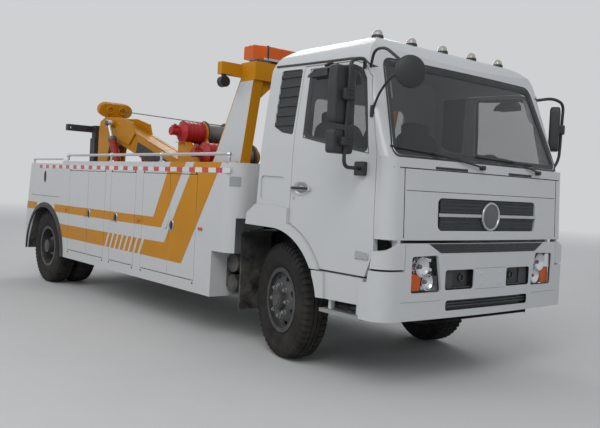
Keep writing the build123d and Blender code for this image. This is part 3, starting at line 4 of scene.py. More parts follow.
import bmesh
import bpy
from mathutils import Matrix, Vector
from mathutils.bvhtree import BVHTree
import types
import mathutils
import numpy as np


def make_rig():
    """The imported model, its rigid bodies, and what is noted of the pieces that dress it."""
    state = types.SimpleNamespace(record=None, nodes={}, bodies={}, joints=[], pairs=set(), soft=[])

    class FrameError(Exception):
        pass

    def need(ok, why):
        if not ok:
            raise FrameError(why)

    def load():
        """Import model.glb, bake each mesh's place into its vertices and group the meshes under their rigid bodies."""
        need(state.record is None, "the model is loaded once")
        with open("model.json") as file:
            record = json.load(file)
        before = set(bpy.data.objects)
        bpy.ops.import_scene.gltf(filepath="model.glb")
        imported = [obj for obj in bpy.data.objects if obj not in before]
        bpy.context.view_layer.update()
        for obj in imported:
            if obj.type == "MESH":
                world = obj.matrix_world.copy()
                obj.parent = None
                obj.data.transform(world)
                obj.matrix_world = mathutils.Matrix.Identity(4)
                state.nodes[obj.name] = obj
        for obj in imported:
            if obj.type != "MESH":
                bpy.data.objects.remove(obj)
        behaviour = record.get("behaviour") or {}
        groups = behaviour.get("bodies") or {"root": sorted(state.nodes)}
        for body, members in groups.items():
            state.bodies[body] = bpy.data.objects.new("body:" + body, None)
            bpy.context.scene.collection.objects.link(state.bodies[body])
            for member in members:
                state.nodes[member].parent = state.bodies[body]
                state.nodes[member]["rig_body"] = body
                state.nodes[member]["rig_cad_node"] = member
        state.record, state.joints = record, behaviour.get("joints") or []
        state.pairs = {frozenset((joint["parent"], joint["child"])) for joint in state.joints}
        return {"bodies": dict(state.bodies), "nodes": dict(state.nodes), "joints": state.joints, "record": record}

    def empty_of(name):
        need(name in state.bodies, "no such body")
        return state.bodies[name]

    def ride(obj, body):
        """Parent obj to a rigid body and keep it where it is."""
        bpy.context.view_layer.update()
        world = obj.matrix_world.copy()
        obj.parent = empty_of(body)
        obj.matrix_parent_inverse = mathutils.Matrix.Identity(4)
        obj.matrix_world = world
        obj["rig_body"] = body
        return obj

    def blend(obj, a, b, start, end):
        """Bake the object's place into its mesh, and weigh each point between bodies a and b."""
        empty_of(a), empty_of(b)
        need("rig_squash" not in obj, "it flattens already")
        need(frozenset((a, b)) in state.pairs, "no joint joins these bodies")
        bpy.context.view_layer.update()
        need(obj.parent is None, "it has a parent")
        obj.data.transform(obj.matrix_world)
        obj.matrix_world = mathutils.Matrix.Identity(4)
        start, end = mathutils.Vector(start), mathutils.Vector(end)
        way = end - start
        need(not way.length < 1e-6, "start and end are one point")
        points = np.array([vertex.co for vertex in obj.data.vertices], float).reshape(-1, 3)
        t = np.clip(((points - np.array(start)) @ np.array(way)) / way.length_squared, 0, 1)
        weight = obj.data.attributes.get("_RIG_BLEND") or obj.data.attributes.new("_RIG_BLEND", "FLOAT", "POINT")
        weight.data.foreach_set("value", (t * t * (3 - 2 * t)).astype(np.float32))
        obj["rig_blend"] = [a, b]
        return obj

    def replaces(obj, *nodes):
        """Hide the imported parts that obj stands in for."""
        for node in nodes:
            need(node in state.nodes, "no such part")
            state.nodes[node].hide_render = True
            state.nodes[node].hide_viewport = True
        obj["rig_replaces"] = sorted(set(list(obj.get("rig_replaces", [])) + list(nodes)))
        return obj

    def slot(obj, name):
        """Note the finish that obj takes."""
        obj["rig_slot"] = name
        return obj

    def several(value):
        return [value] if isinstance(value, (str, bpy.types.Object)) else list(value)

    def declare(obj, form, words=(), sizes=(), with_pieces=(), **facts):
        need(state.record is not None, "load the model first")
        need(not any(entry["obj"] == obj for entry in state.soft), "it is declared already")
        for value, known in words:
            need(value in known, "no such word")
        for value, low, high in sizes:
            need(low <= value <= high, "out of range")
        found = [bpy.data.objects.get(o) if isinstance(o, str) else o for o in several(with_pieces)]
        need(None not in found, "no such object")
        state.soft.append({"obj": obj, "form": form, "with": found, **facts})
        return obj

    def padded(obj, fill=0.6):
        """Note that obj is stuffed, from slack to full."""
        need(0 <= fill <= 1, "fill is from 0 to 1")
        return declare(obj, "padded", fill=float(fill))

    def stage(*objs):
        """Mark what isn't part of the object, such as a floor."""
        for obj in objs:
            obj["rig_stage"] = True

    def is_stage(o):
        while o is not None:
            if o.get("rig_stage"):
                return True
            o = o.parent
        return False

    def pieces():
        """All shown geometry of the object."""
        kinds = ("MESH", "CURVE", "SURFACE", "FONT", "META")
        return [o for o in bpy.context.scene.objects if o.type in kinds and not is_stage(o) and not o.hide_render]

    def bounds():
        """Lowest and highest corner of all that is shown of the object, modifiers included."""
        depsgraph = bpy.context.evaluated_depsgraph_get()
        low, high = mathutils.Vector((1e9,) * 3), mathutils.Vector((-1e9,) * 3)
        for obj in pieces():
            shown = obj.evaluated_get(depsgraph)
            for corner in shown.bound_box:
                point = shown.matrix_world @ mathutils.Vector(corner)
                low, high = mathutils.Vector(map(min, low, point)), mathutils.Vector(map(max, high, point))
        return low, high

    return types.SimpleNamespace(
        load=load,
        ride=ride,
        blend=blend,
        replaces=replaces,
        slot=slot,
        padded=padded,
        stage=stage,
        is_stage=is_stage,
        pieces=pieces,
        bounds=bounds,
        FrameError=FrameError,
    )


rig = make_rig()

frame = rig.load()
CAD_BOX = [list(map(float, corner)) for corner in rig.bounds()]

# Lengths are in metres. A station is a distance ahead of the front axle.
AXLE_X = 2.4325
BODY_Y = 1.220
TYRE_R = 0.510
REST_STEER = math.radians(-12)
REAR_AXLE = -5.250
SUNK = 0.002
SIDES = (("right", -1), ("left", 1))
BOTH = (-1, 1)
LEAVES = (("rear_a", -4.400, -3.803), ("rear_b", -3.797, -3.300), ("middle", -3.130, -2.495),
          ("front_a", -2.310, -1.713), ("front_b", -1.707, -1.180))
LEAF_LOW, LEAF_HIGH = 0.546, 1.584


def st(station):
    """Gives the X of a station."""
    return AXLE_X + station


# Materials

def noise(tree, coords, scale, detail=4.0, rough=0.55):
    """A noise texture's factor over the object's own coordinates."""
    node = tree.nodes.new("ShaderNodeTexNoise")
    node.inputs["Scale"].default_value = scale
    node.inputs["Detail"].default_value = detail
    node.inputs["Roughness"].default_value = rough
    tree.links.new(coords, node.inputs["Vector"])
    return node.outputs["Fac"]


def ramp(tree, value, low, high, a=0.0, b=1.0):
    """Maps a value from low..high to a..b."""
    node = tree.nodes.new("ShaderNodeMapRange")
    node.inputs["From Min"].default_value = low
    node.inputs["From Max"].default_value = high
    node.inputs["To Min"].default_value = a
    node.inputs["To Max"].default_value = b
    tree.links.new(value, node.inputs["Value"])
    return node.outputs["Result"]


def mix(tree, factor, a, b):
    """Mixes two colours, each a value or a socket."""
    node = tree.nodes.new("ShaderNodeMix")
    node.data_type = "RGBA"
    tree.links.new(factor, node.inputs["Factor"])
    for key, value in (("A", a), ("B", b)):
        socket = [s for s in node.inputs if s.name == key and s.type == "RGBA"][0]
        if isinstance(value, bpy.types.NodeSocket):
            tree.links.new(value, socket)
        else:
            socket.default_value = (*value, 1.0)
    return [s for s in node.outputs if s.type == "RGBA"][0]


def multiply(tree, a, b):
    """Multiplies two values."""
    node = tree.nodes.new("ShaderNodeMath")
    node.operation = "MULTIPLY"
    tree.links.new(a, node.inputs[0])
    if isinstance(b, bpy.types.NodeSocket):
        tree.links.new(b, node.inputs[1])
    else:
        node.inputs[1].default_value = b
    return node.outputs[0]


def finish(name, colour, rough, metal=0.0, coat=0.0, dirt=0.0, dust=(0.36, 0.33, 0.29), low=0.35, high=1.1,
           mottle=0.06, bump=0.02, bump_scale=260.0, alpha=1.0, glow=0.0, gloss=0.5, uneven=1.0):
    """Makes a finish: mottled colour, dust that thickens towards the ground, uneven gloss and a fine bump."""
    material = bpy.data.materials.new(name)
    material.use_nodes = True
    tree = material.node_tree
    shader = tree.nodes["Principled BSDF"]
    coords = tree.nodes.new("ShaderNodeTexCoord").outputs["Object"]
    deeper = tuple(c * (1 - mottle * 2) for c in colour)
    base = mix(tree, ramp(tree, noise(tree, coords, 2.3), 0.35, 0.7), colour, deeper)
    if dirt:
        height = tree.nodes.new("ShaderNodeSeparateXYZ")
        tree.links.new(coords, height.inputs[0])
        fall = ramp(tree, height.outputs["Z"], low, high, 1.0, 0.12)
        grime = multiply(tree, multiply(tree, ramp(tree, noise(tree, coords, 7.0, 6.0, 0.65), 0.38, 0.72), fall), dirt)
        base = mix(tree, grime, base, dust)
    tree.links.new(base, shader.inputs["Base Color"])
    shinier, duller = max(rough - 0.07 * uneven, 0.02), min(rough + 0.12 * uneven, 1.0)
    tree.links.new(ramp(tree, noise(tree, coords, 11.0), 0.3, 0.75, shinier, duller), shader.inputs["Roughness"])
    if bump:
        node = tree.nodes.new("ShaderNodeBump")
        node.inputs["Strength"].default_value = bump
        node.inputs["Distance"].default_value = 0.002
        tree.links.new(noise(tree, coords, bump_scale, 2.0), node.inputs["Height"])
        tree.links.new(node.outputs["Normal"], shader.inputs["Normal"])
    shader.inputs["Metallic"].default_value = metal
    shader.inputs["Coat Weight"].default_value = coat
    shader.inputs["Coat Roughness"].default_value = 0.08
    shader.inputs["Specular IOR Level"].default_value = gloss
    shader.inputs["Alpha"].default_value = alpha
    if glow:
        shader.inputs["Emission Color"].default_value = (*colour, 1.0)
        shader.inputs["Emission Strength"].default_value = glow
    return material


WHITE = (0.54, 0.55, 0.55)
AMBER = (0.54, 0.225, 0.004)
M = {
    "body_white": finish("body_white", WHITE, 0.30, coat=0.25, dirt=0.12, mottle=0.006, low=0.35, high=0.85, bump=0.008,
                         gloss=0.4, uneven=0.25),
    "amber_yellow": finish("amber_yellow", AMBER, 0.38, dirt=0.12, dust=(0.17, 0.12, 0.06), mottle=0.04, gloss=0.2,
                           uneven=0.5),
    "winch_red": finish("winch_red", (0.44, 0.014, 0.014), 0.36, dirt=0.15, dust=(0.16, 0.10, 0.09), low=1.6, high=2.4,
                        gloss=0.35),
    "cylinder_red": finish("cylinder_red", (0.32, 0.018, 0.014), 0.36, dirt=0.15, dust=(0.16, 0.10, 0.09), gloss=0.35),
    "frame_black": finish("frame_black", (0.022, 0.022, 0.024), 0.5, dirt=0.55, mottle=0.2, bump=0.08, bump_scale=90),
    "engine_grey": finish("engine_grey", (0.09, 0.095, 0.1), 0.6, dirt=0.4, bump=0.1, bump_scale=120),
    "rim_grey": finish("rim_grey", (0.045, 0.046, 0.050), 0.5, dirt=0.6, dust=(0.15, 0.135, 0.12), low=0.1, high=1.2,
                       mottle=0.15),
    "drum_steel": finish("drum_steel", (0.16, 0.16, 0.165), 0.42, metal=0.8, dirt=0.2),
    "rail_chrome": finish("rail_chrome", (0.66, 0.66, 0.68), 0.14, metal=1.0, mottle=0.03, bump=0.0),
    "tyre_black": finish("tyre_black", (0.018, 0.017, 0.0165), 0.85, dirt=0.6, dust=(0.070, 0.060, 0.050), low=0.0,
                         high=1.2, mottle=0.2, bump=0.2, bump_scale=150, gloss=0.3),
    "trim_dark": finish("trim_dark", (0.020, 0.021, 0.023), 0.5, dirt=0.15, bump=0.1, bump_scale=420),
    "lamp_black": finish("lamp_black", (0.012, 0.012, 0.013), 0.25, bump=0.03),
    "amber_lens": finish("amber_lens", (0.58, 0.095, 0.002), 0.22, coat=0.1, glow=0.04, bump=0.12, bump_scale=160,
                         gloss=0.3),
    "clear_lens": finish("clear_lens", (0.12, 0.125, 0.13), 0.05, coat=0.2, alpha=0.07, bump=0.0),
    "window_glass": finish("window_glass", (0.034, 0.039, 0.041), 0.04, coat=1.0, alpha=0.28, bump=0.0, mottle=0.0),
}
SEAT_CLOTH = finish("seat_cloth", (0.10, 0.10, 0.115), 0.92, mottle=0.12, bump=0.5, bump_scale=700)
DASH = finish("dash_grain", (0.055, 0.057, 0.062), 0.6, bump=0.25, bump_scale=520)
RED_SHEET = finish("reflector_red", (0.55, 0.012, 0.015), 0.25, coat=0.5, bump=0.2, bump_scale=900)
PALE_SHEET = finish("reflector_pale", (0.68, 0.69, 0.68), 0.25, coat=0.5, bump=0.2, bump_scale=900)
RED_LENS = finish("red_lens", (0.48, 0.010, 0.010), 0.16, coat=0.6, bump=0.15, bump_scale=200)
# Painted shadow: the colour of the dark lines drawn along the front's seams, the cowl slots and the lockers' edges
SEAM_SHADOW = finish("seam_shadow", (0.035, 0.036, 0.038), 0.7, bump=0.05)
ROPE = finish("wire_rope", (0.20, 0.195, 0.185), 0.45, metal=0.7, bump=0.5, bump_scale=300)
MIRROR = finish("mirror_face", (0.72, 0.74, 0.76), 0.03, metal=1.0, bump=0.0, mottle=0.0)
SILVER = finish("silver_trim", (0.52, 0.53, 0.54), 0.28, metal=0.9, bump=0.02)
PLATE = finish("blank_plate", (0.33, 0.34, 0.35), 0.45, metal=0.4)
LENS_PALE = finish("lens_pale", (0.42, 0.39, 0.34), 0.16, coat=0.6, bump=0.2, bump_scale=300)

for node_name, obj in frame["nodes"].items():
    slot_name = [s["material_slot"] for s in frame["record"]["subparts"] if s["node"] == node_name][0]
    for material_slot in obj.material_slots:
        material_slot.material = M[slot_name]


# Mesh helpers: each adds a closed form to a bmesh

WELD = 1e-5


def add_box(bm, lo, hi):
    """Adds a box between two corners."""
    centre = [(a + b) / 2 for a, b in zip(lo, hi)]
    size = [abs(b - a) for a, b in zip(lo, hi)]
    bmesh.ops.create_cube(bm, size=1.0, matrix=Matrix.Translation(centre) @ Matrix.Diagonal((*size, 1.0)))


def add_rod(bm, a, b, r0, r1=None, sides=24):
    """Adds a round or tapered bar from a to b."""
    a, b = Vector(a), Vector(b)
    turn = (b - a).to_track_quat("Z", "Y").to_matrix().to_4x4()
    bmesh.ops.create_cone(bm, cap_ends=True, segments=sides, radius1=r0, radius2=r0 if r1 is None else r1,
                          depth=(b - a).length, matrix=Matrix.Translation((a + b) / 2) @ turn)


def add_prism(bm, loop_a, loop_b):
    """Adds the form between two loops of as many points."""
    face = bm.faces.new([bm.verts.new(p) for p in loop_a])
    grown = bmesh.ops.extrude_face_region(bm, geom=[face], use_keep_orig=True)["geom"]
    far_place = {v.co.to_tuple(5): q for v, q in zip(face.verts, loop_b)}
    for part in grown:
        if isinstance(part, bmesh.types.BMVert):
            part.co = far_place[part.co.to_tuple(5)]


def box_outline(x0, x1, z0, z1):
    """Gives a rectangle's corners."""
    return [(x0, z0), (x1, z0), (x1, z1), (x0, z1)]


def stretch_along(bm, station, factor):
    """Stretches a bmesh along the vehicle about a station."""
    bmesh.ops.scale(bm, vec=(factor, 1, 1), space=Matrix.Translation((-st(station), 0, 0)), verts=bm.verts)


def placed(path, side):
    """Gives a path of stations, Ys and heights on one side of the vehicle."""
    return [(st(x), side * y, z) for x, y, z in path]


def add_side_plate(bm, outline, y0, y1):
    """Adds an outline of stations and heights between two Ys."""
    add_prism(bm, [(st(x), y0, z) for x, z in outline], [(st(x), y1, z) for x, z in outline])


def join(bm, part):
    """Moves a finished part into a bmesh."""
    mesh = bpy.data.meshes.new("part")
    part.to_mesh(mesh)
    part.free()
    bm.from_mesh(mesh)
    bpy.data.meshes.remove(mesh)


def add_tube(bm, points, radius, sides=12, steps=6):
    """Adds a bent tube through points, smooth between them unless it has one step."""
    line = bpy.data.curves.new("line", "CURVE")
    line.dimensions = "3D"
    line.bevel_depth = radius
    line.bevel_resolution = (sides - 4) // 2
    line.use_fill_caps = True
    line.resolution_u = steps
    if steps == 1:
        spline = line.splines.new("POLY")
        spline.points.add(len(points) - 1)
        for place, p in zip(spline.points, points):
            place.co = (*p, 1.0)
    else:
        spline = line.splines.new("BEZIER")
        spline.bezier_points.add(len(points) - 1)
        for place, p in zip(spline.bezier_points, points):
            place.co = p
            place.handle_left_type = place.handle_right_type = "AUTO"
    holder = bpy.data.objects.new("line", line)
    mesh = bpy.data.meshes.new_from_object(holder)
    part = bmesh.new()
    part.from_mesh(mesh)
    bmesh.ops.remove_doubles(part, verts=part.verts, dist=WELD)
    bpy.data.objects.remove(holder)
    bpy.data.curves.remove(line)
    bpy.data.meshes.remove(mesh)
    join(bm, part)


def add_turned(bm, centre, axis, profile, sides=48, closed=False):
    """Adds a turned form of points (distance along the axis, radius), a ring if closed, else with its ends shut."""
    axis = Vector(axis).normalized()
    side = axis.orthogonal().normalized()
    if not closed:
        first, last = [[(w, 0.0)] if r else [] for w, r in (profile[0], profile[-1])]
        profile = first + list(profile) + last
    part = bmesh.new()
    line = [part.verts.new(Vector(centre) + axis * w + side * r) for w, r in profile]
    edges = [part.edges.new(pair) for pair in zip(line, line[1:] + line[:1] if closed else line[1:])]
    bmesh.ops.spin(part, geom=line + edges, cent=centre, axis=axis, angle=2 * math.pi, steps=sides, use_merge=True)
    bmesh.ops.remove_doubles(part, verts=part.verts, dist=WELD)
    join(bm, part)


SMOOTH_BELOW, BEVEL_ABOVE = math.radians(35), math.radians(40)


def piece(name, bm, body, slot, look=None, smooth=True, bevel=0.0, replaces=()):
    """Makes an object of a bmesh, with its body, if it has one, its slot, and a look of its own or the slot's."""
    bmesh.ops.dissolve_degenerate(bm, dist=WELD / 10, edges=bm.edges)
    bmesh.ops.recalc_face_normals(bm, faces=bm.faces)
    mesh = bpy.data.meshes.new(name)
    bm.to_mesh(mesh)
    bm.free()
    mesh.materials.append(look or M[slot])
    obj = bpy.data.objects.new(name, mesh)
    bpy.context.scene.collection.objects.link(obj)
    if smooth:
        mesh.shade_smooth()
        mesh.set_sharp_from_angle(angle=SMOOTH_BELOW)
    if bevel:
        modifier = obj.modifiers.new("edge", "BEVEL")
        modifier.width = bevel
        modifier.segments = 2
        modifier.limit_method = "ANGLE"
        modifier.angle_limit = BEVEL_ABOVE
    if replaces:
        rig.replaces(obj, *replaces)
    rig.slot(obj, slot)
    if body:
        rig.ride(obj, body)
    return obj


def surface(*names):
    """Gives a ray caster over CAD nodes."""
    trees = []
    for name in names:
        mesh = frame["nodes"][name].data
        trees.append(BVHTree.FromPolygons([v.co for v in mesh.vertices], [p.vertices for p in mesh.polygons]))

    def cast(origin, direction):
        hits = [tree.ray_cast(Vector(origin), Vector(direction)) for tree in trees]
        hits = [h for h in hits if h[0] is not None]
        return min(hits, key=lambda h: h[3])[0] if hits else None
    return cast


def on_front(cast, y, z):
    """The place on the vehicle's front at y and z."""
    return cast((6.0, y, z), (-1, 0, 0))


def on_side(cast, x, z, side):
    """The place on the vehicle's side at x and z."""
    return cast((x, side * 3.0, z), (0, -side, 0))


def add_rows(bm, rows, closed=False):
    """Adds a skin over rows of as many points, each a closed loop, its ends shut unless it closes on itself."""
    rows = [list(row) + [row[0]] for row in rows]
    if closed:
        rows.append(rows[0])
    part = bmesh.new()
    bmesh.ops.create_grid(part, x_segments=len(rows[0]) - 1, y_segments=len(rows) - 1)
    for v, p in zip(part.verts, (p for row in rows for p in row)):
        v.co = p
    bmesh.ops.remove_doubles(part, verts=part.verts, dist=WELD)
    if not closed:
        bmesh.ops.holes_fill(part, edges=[edge for edge in part.edges if edge.is_boundary])
    join(bm, part)


def add_strip(bm, pairs, lift, closed=False):
    """Adds a thin band between pairs of places, standing proud by lift."""
    add_rows(bm, [(a, b, b + lift, a + lift) for a, b in pairs], closed)


def rounded(outline, radius, steps=5, closed=True):
    """Rounds the corners of an outline or of an open path."""
    found = []
    count = len(outline)
    for i in range(count):
        if not closed and i in (0, count - 1):
            found.append(Vector(outline[i]))
            continue
        before, corner, after = Vector(outline[i - 1]), Vector(outline[i]), Vector(outline[(i + 1) % count])
        a = corner + (before - corner).normalized() * radius
        b = corner + (after - corner).normalized() * radius
        for k in range(steps + 1):
            s = k / steps
            found.append(a * (1 - s) ** 2 + corner * 2 * s * (1 - s) + b * s * s)
    return found


def resized(outline, grow):
    """Moves an outline's points out from its middle by a length."""
    middle = sum(outline, Vector((0, 0))) / len(outline)
    return [p + (p - middle).normalized() * grow for p in outline]


def add_frame(bm, outer, inner, x0, x1):
    """Adds a frame between two outlines of Y and Z, from x0 to x1."""
    add_rows(bm, [((x0, *a), (x1, *a), (x1, *b), (x0, *b)) for a, b in zip(outer, inner)], closed=True)


CHANNEL_PLACE, CHANNEL_WIDTH = 0.52, 0.05


def add_pillow(bm, centre, size, turn=0.0, power=8.0, cells=10, crown=0.0, channel=0.0, yaw=0.0):
    """Adds a closed box with rounded edges, if asked with a crowned top and two sewn channels along it."""
    part = bmesh.new()
    bmesh.ops.create_cube(part, size=2.0)
    bmesh.ops.subdivide_edges(part, edges=part.edges, cuts=cells, use_grid_fill=True)
    for v in part.verts:
        x, y, z = v.co
        length = (abs(x) ** power + abs(y) ** power + abs(z) ** power) ** (1 / power)
        x, y, z = x / length, y / length, z / length
        rise = 1 + crown * (1 - x * x) * (1 - y * y)
        sewn = 1 - channel * math.exp(-((abs(y) - CHANNEL_PLACE) / CHANNEL_WIDTH) ** 2) * (abs(z) > 0.5)
        v.co = Vector((x * size[0] / 2, y * size[1] / 2, z * rise * sewn * size[2] / 2))
    place = Matrix.Translation(centre) @ Matrix.Rotation(yaw, 4, "Z") @ Matrix.Rotation(turn, 4, "Y")
    bmesh.ops.transform(part, matrix=place, verts=part.verts)
    join(bm, part)


# Stripes on the body's sides, cut where a locker leaf carries them

def clip(outline, axis, limit, keep_above):
    """Cuts a convex outline at a straight line."""
    result = []
    for i, p in enumerate(outline):
        q = outline[(i + 1) % len(outline)]
        p_in = p[axis] >= limit if keep_above else p[axis] <= limit
        q_in = q[axis] >= limit if keep_above else q[axis] <= limit
        if p_in:
            result.append(p)
        if p_in != q_in:
            t = (limit - p[axis]) / (q[axis] - p[axis])
            result.append((p[0] + (q[0] - p[0]) * t, p[1] + (q[1] - p[1]) * t))
    return result


def inside(outline, x0, x1, z0, z1):
    """The part of an outline inside a rectangle."""
    for axis, limit, above in ((0, x0, True), (0, x1, False), (1, z0, True), (1, z1, False)):
        outline = clip(outline, axis, limit, above)
        if len(outline) < 3:
            return []
    return outline


BAND = [
    [(-6.008, 1.015), (-5.60, 1.015), (-5.60, 1.117), (-5.989, 1.117)],
    [(-4.92, 1.015), (-1.874, 1.015), (-2.055, 1.117), (-4.92, 1.117)],
    [(-2.055, 1.117), (-1.874, 1.015), (-1.414, 1.7095), (-1.725, 1.7095)],
    [(-4.70, 0.690), (-3.25, 0.690), (-3.17, 0.862), (-4.78, 0.862)],
    [(-2.336, 0.690), (-1.428, 0.683), (-1.795, 0.865), (-2.243, 0.862)],
    [(-1.795, 0.865), (-1.428, 0.683), (-0.754, 1.7095), (-1.25, 1.7095)],
]
BAR_COUNT, BAR_PITCH, BAR_WIDTH, BAR_SLANT = 7, 0.1235, 0.078, 0.087
for bar in range(BAR_COUNT):
    top = -3.12 + bar * BAR_PITCH
    foot = top - BAR_SLANT
    BAND.append([(foot, 0.690), (foot + BAR_WIDTH, 0.690), (top + BAR_WIDTH, 0.862), (top, 0.862)])
REFLECTOR_LOW, REFLECTOR_HIGH = 1.610, 1.657
REFLECTOR_START, REFLECTOR_END, REFLECTOR_PITCH, RED_LENGTH = -5.54, -0.75, 0.2466, 0.115
SHEET = 0.0008
LOCKER_GAPS = ((-4.406, -3.294), (-3.136, -2.489), (-2.316, -1.174))


def strips(outline):
    """Cuts an outline into the parts on each leaf and the parts on the body around them."""
    found = [(leaf, inside(outline, x0, x1, LEAF_LOW, LEAF_HIGH)) for leaf, x0, x1 in LEAVES]
    gap_low, gap_high = LEAF_LOW - 0.006, LEAF_HIGH + 0.006
    edges = [-7] + [x for pair in LOCKER_GAPS for x in pair] + [0]
    rest = [(-7, 0, gap_high, 2), (-7, 0, 0, gap_low)]
    rest += [(x0, x1, gap_low, gap_high) for x0, x1 in zip(edges[::2], edges[1::2])]
    found += [(None, inside(outline, *area)) for area in rest]
    return [(leaf, part) for leaf, part in found if part]


for side_name, side in SIDES:
    groups = {}
    for outline in BAND:
        for leaf, part in strips(outline):
            groups.setdefault(leaf, []).append(part)
    for leaf, parts in groups.items():
        bm = bmesh.new()
        for part in parts:
            add_side_plate(bm, part, side * (BODY_Y - SUNK), side * (BODY_Y + SHEET))
        body = f"locker_{leaf}_{side_name}" if leaf else "chassis"
        piece(f"stripe_{leaf or 'body'}_{side_name}", bm, body, "amber_yellow", smooth=False)
    for colour, begin, end, slot, look in (("red", 0.0, RED_LENGTH, "winch_red", RED_SHEET),
                                           ("pale", RED_LENGTH, REFLECTOR_PITCH, "body_white", PALE_SHEET)):
        bm = bmesh.new()
        for k in range(int((REFLECTOR_END - REFLECTOR_START) / REFLECTOR_PITCH) + 1):
            x = REFLECTOR_START + k * REFLECTOR_PITCH
            outline = box_outline(x + begin, x + end, REFLECTOR_LOW, REFLECTOR_HIGH)
            add_side_plate(bm, outline, side * (BODY_Y - SUNK), side * (BODY_Y + 2 * SHEET))
        piece(f"reflector_{colour}_{side_name}", bm, "chassis", slot, look, smooth=False)

# Rear arch trim: a rubber lip that rounds the arch's corners
ARCH_STATION, ARCH_FOOT = -5.280, 0.427
INNER_ARCH, OUTER_ARCH = (0.660, 0.633), (0.728, 0.700)
ARCH_STEPS = 48
ARCH_OPENING = [Vector(p) for p in ((-4.624, 0.430), (-4.640, 0.560), (-4.790, 0.860), (-5.000, 1.060), (-5.540, 1.060),
                                    (-5.750, 0.860), (-5.900, 0.560), (-5.918, 0.430))]
ARCH_MIDDLE = Vector((-5.270, 0.500))
LINER_IN, LINER_OUT, LINER_GAP, LINER_THICK = 0.612, 1.212, 0.002, 0.005
for side_name, side in SIDES:
    bm = bmesh.new()
    rows = []
    for k in range(ARCH_STEPS + 1):
        turn = math.pi * k / ARCH_STEPS
        inner, outer = [(st(ARCH_STATION) + half * math.cos(turn), ARCH_FOOT + rise * math.sin(turn))
                        for half, rise in (INNER_ARCH, OUTER_ARCH)]
        lip = ((inner, -0.020), (inner, 0.020), (inner, 0.020), (outer, 0.006), (outer, -0.004))
        row = [Vector((x, side * (BODY_Y + y), z)) for (x, z), y in lip]
        row[2] = row[1].lerp(row[3], 0.35) + Vector((0, side * 0.004, 0))
        rows.append(row)
    add_rows(bm, rows)
    piece(f"arch_trim_{side_name}", bm, "chassis", "trim_dark", bevel=0.002)
    bm = bmesh.new()
    rows = []
    for p in rounded(ARCH_OPENING, 0.045, closed=False):
        inward = (ARCH_MIDDLE - p).normalized()
        near, far = p + inward * LINER_GAP, p + inward * (LINER_GAP + LINER_THICK)
        rows.append([Vector((st(q.x), side * y, q.y))
                     for q, y in ((near, LINER_IN), (near, LINER_OUT), (far, LINER_OUT), (far, LINER_IN))])
    add_rows(bm, rows)
    piece(f"arch_liner_{side_name}", bm, "chassis", "frame_black")

# Locker latches, caps on the bosses in the stripe and side marker lamps
LATCHES = (("rear_b", -3.745), ("middle", -2.975), ("front_b", -1.647))
BOSSES = (("rear_a", -3.860), ("middle", -3.060))
LATCH_Z, LATCH_NARROW = 1.055, 0.82
for side_name, side in SIDES:
    for leaf, station in LATCHES:
        bm = bmesh.new()
        add_turned(bm, (st(station), side * BODY_Y, LATCH_Z), (0, side, 0),
                   [(-0.002, 0.058), (0.004, 0.058), (0.008, 0.052), (0.008, 0.047), (0.002, 0.047), (-0.002, 0.047)],
                   sides=40, closed=True)
        stretch_along(bm, station, LATCH_NARROW)
        piece(f"latch_ring_{leaf}_{side_name}", bm, f"locker_{leaf}_{side_name}", "rail_chrome", SILVER)
        bm = bmesh.new()
        add_turned(bm, (st(station), side * BODY_Y, LATCH_Z), (0, side, 0),
                   [(0.001, 0.0), (0.001, 0.047), (0.0095, 0.045), (0.0105, 0.03), (0.0105, 0.0)], sides=40)
        stretch_along(bm, station, LATCH_NARROW)
        add_box(bm, (st(station) - 0.012, side * (BODY_Y + 0.008), LATCH_Z - 0.027),
                (st(station) + 0.012, side * (BODY_Y + 0.016), LATCH_Z + 0.027))
        piece(f"latch_{leaf}_{side_name}", bm, f"locker_{leaf}_{side_name}", "trim_dark", bevel=0.002)
    for leaf, station in BOSSES:
        bm = bmesh.new()
        add_turned(bm, (st(station), side * BODY_Y, LATCH_Z), (0, side, 0),
                   [(-0.002, 0.0452), (0.0090, 0.0452), (0.0100, 0.0425), (0.0100, 0.0)], sides=40)
        piece(f"boss_cap_{leaf}_{side_name}", bm, f"locker_{leaf}_{side_name}", "amber_yellow")
    bm = bmesh.new()
    for station in (-1.084, -2.40, -4.50):
        add_box(bm, (st(station) - 0.035, side * (BODY_Y - SUNK), 1.045),
                (st(station) + 0.035, side * (BODY_Y + 0.012), 1.073))
    piece(f"side_markers_{side_name}", bm, "chassis", "amber_lens", bevel=0.004)

# Tyres: block lugs on the shoulders, grooved ribs between them and plain ringed sidewalls
BEAD = [(-0.086, 0.2625), (-0.092, 0.276), (-0.096, 0.292), (-0.108, 0.308), (-0.1175, 0.330), (-0.1195, 0.336),
        (-0.1195, 0.342), (-0.1215, 0.352), (-0.123, 0.380), (-0.1225, 0.410), (-0.1240, 0.416), (-0.1240, 0.423),
        (-0.1205, 0.432), (-0.1185, 0.448)]
SHOULDER = [(-0.1165, 0.462), (-0.1130, 0.484), (-0.1040, 0.4985), (-0.0950, 0.5035), (-0.0700, 0.5075),
            (-0.0440, 0.5095)]
RIBS = [(-0.0425, 0.4965), (-0.0345, 0.4965), (-0.0330, 0.5098), (-0.0045, 0.5100), (-0.0035, 0.4985),
        (0.0035, 0.4985), (0.0045, 0.5100), (0.0330, 0.5098), (0.0345, 0.4965), (0.0425, 0.4965)]
LUGS = 54
LUG_STEPS = (0.0, 0.03, 0.25, 0.28, 0.64)
LUG_DEPTH = 0.015
ZIGZAG = 0.0035
SHOULDER_IN, RIB_EDGE, SIDEWALL = 0.044, 0.043, 0.11


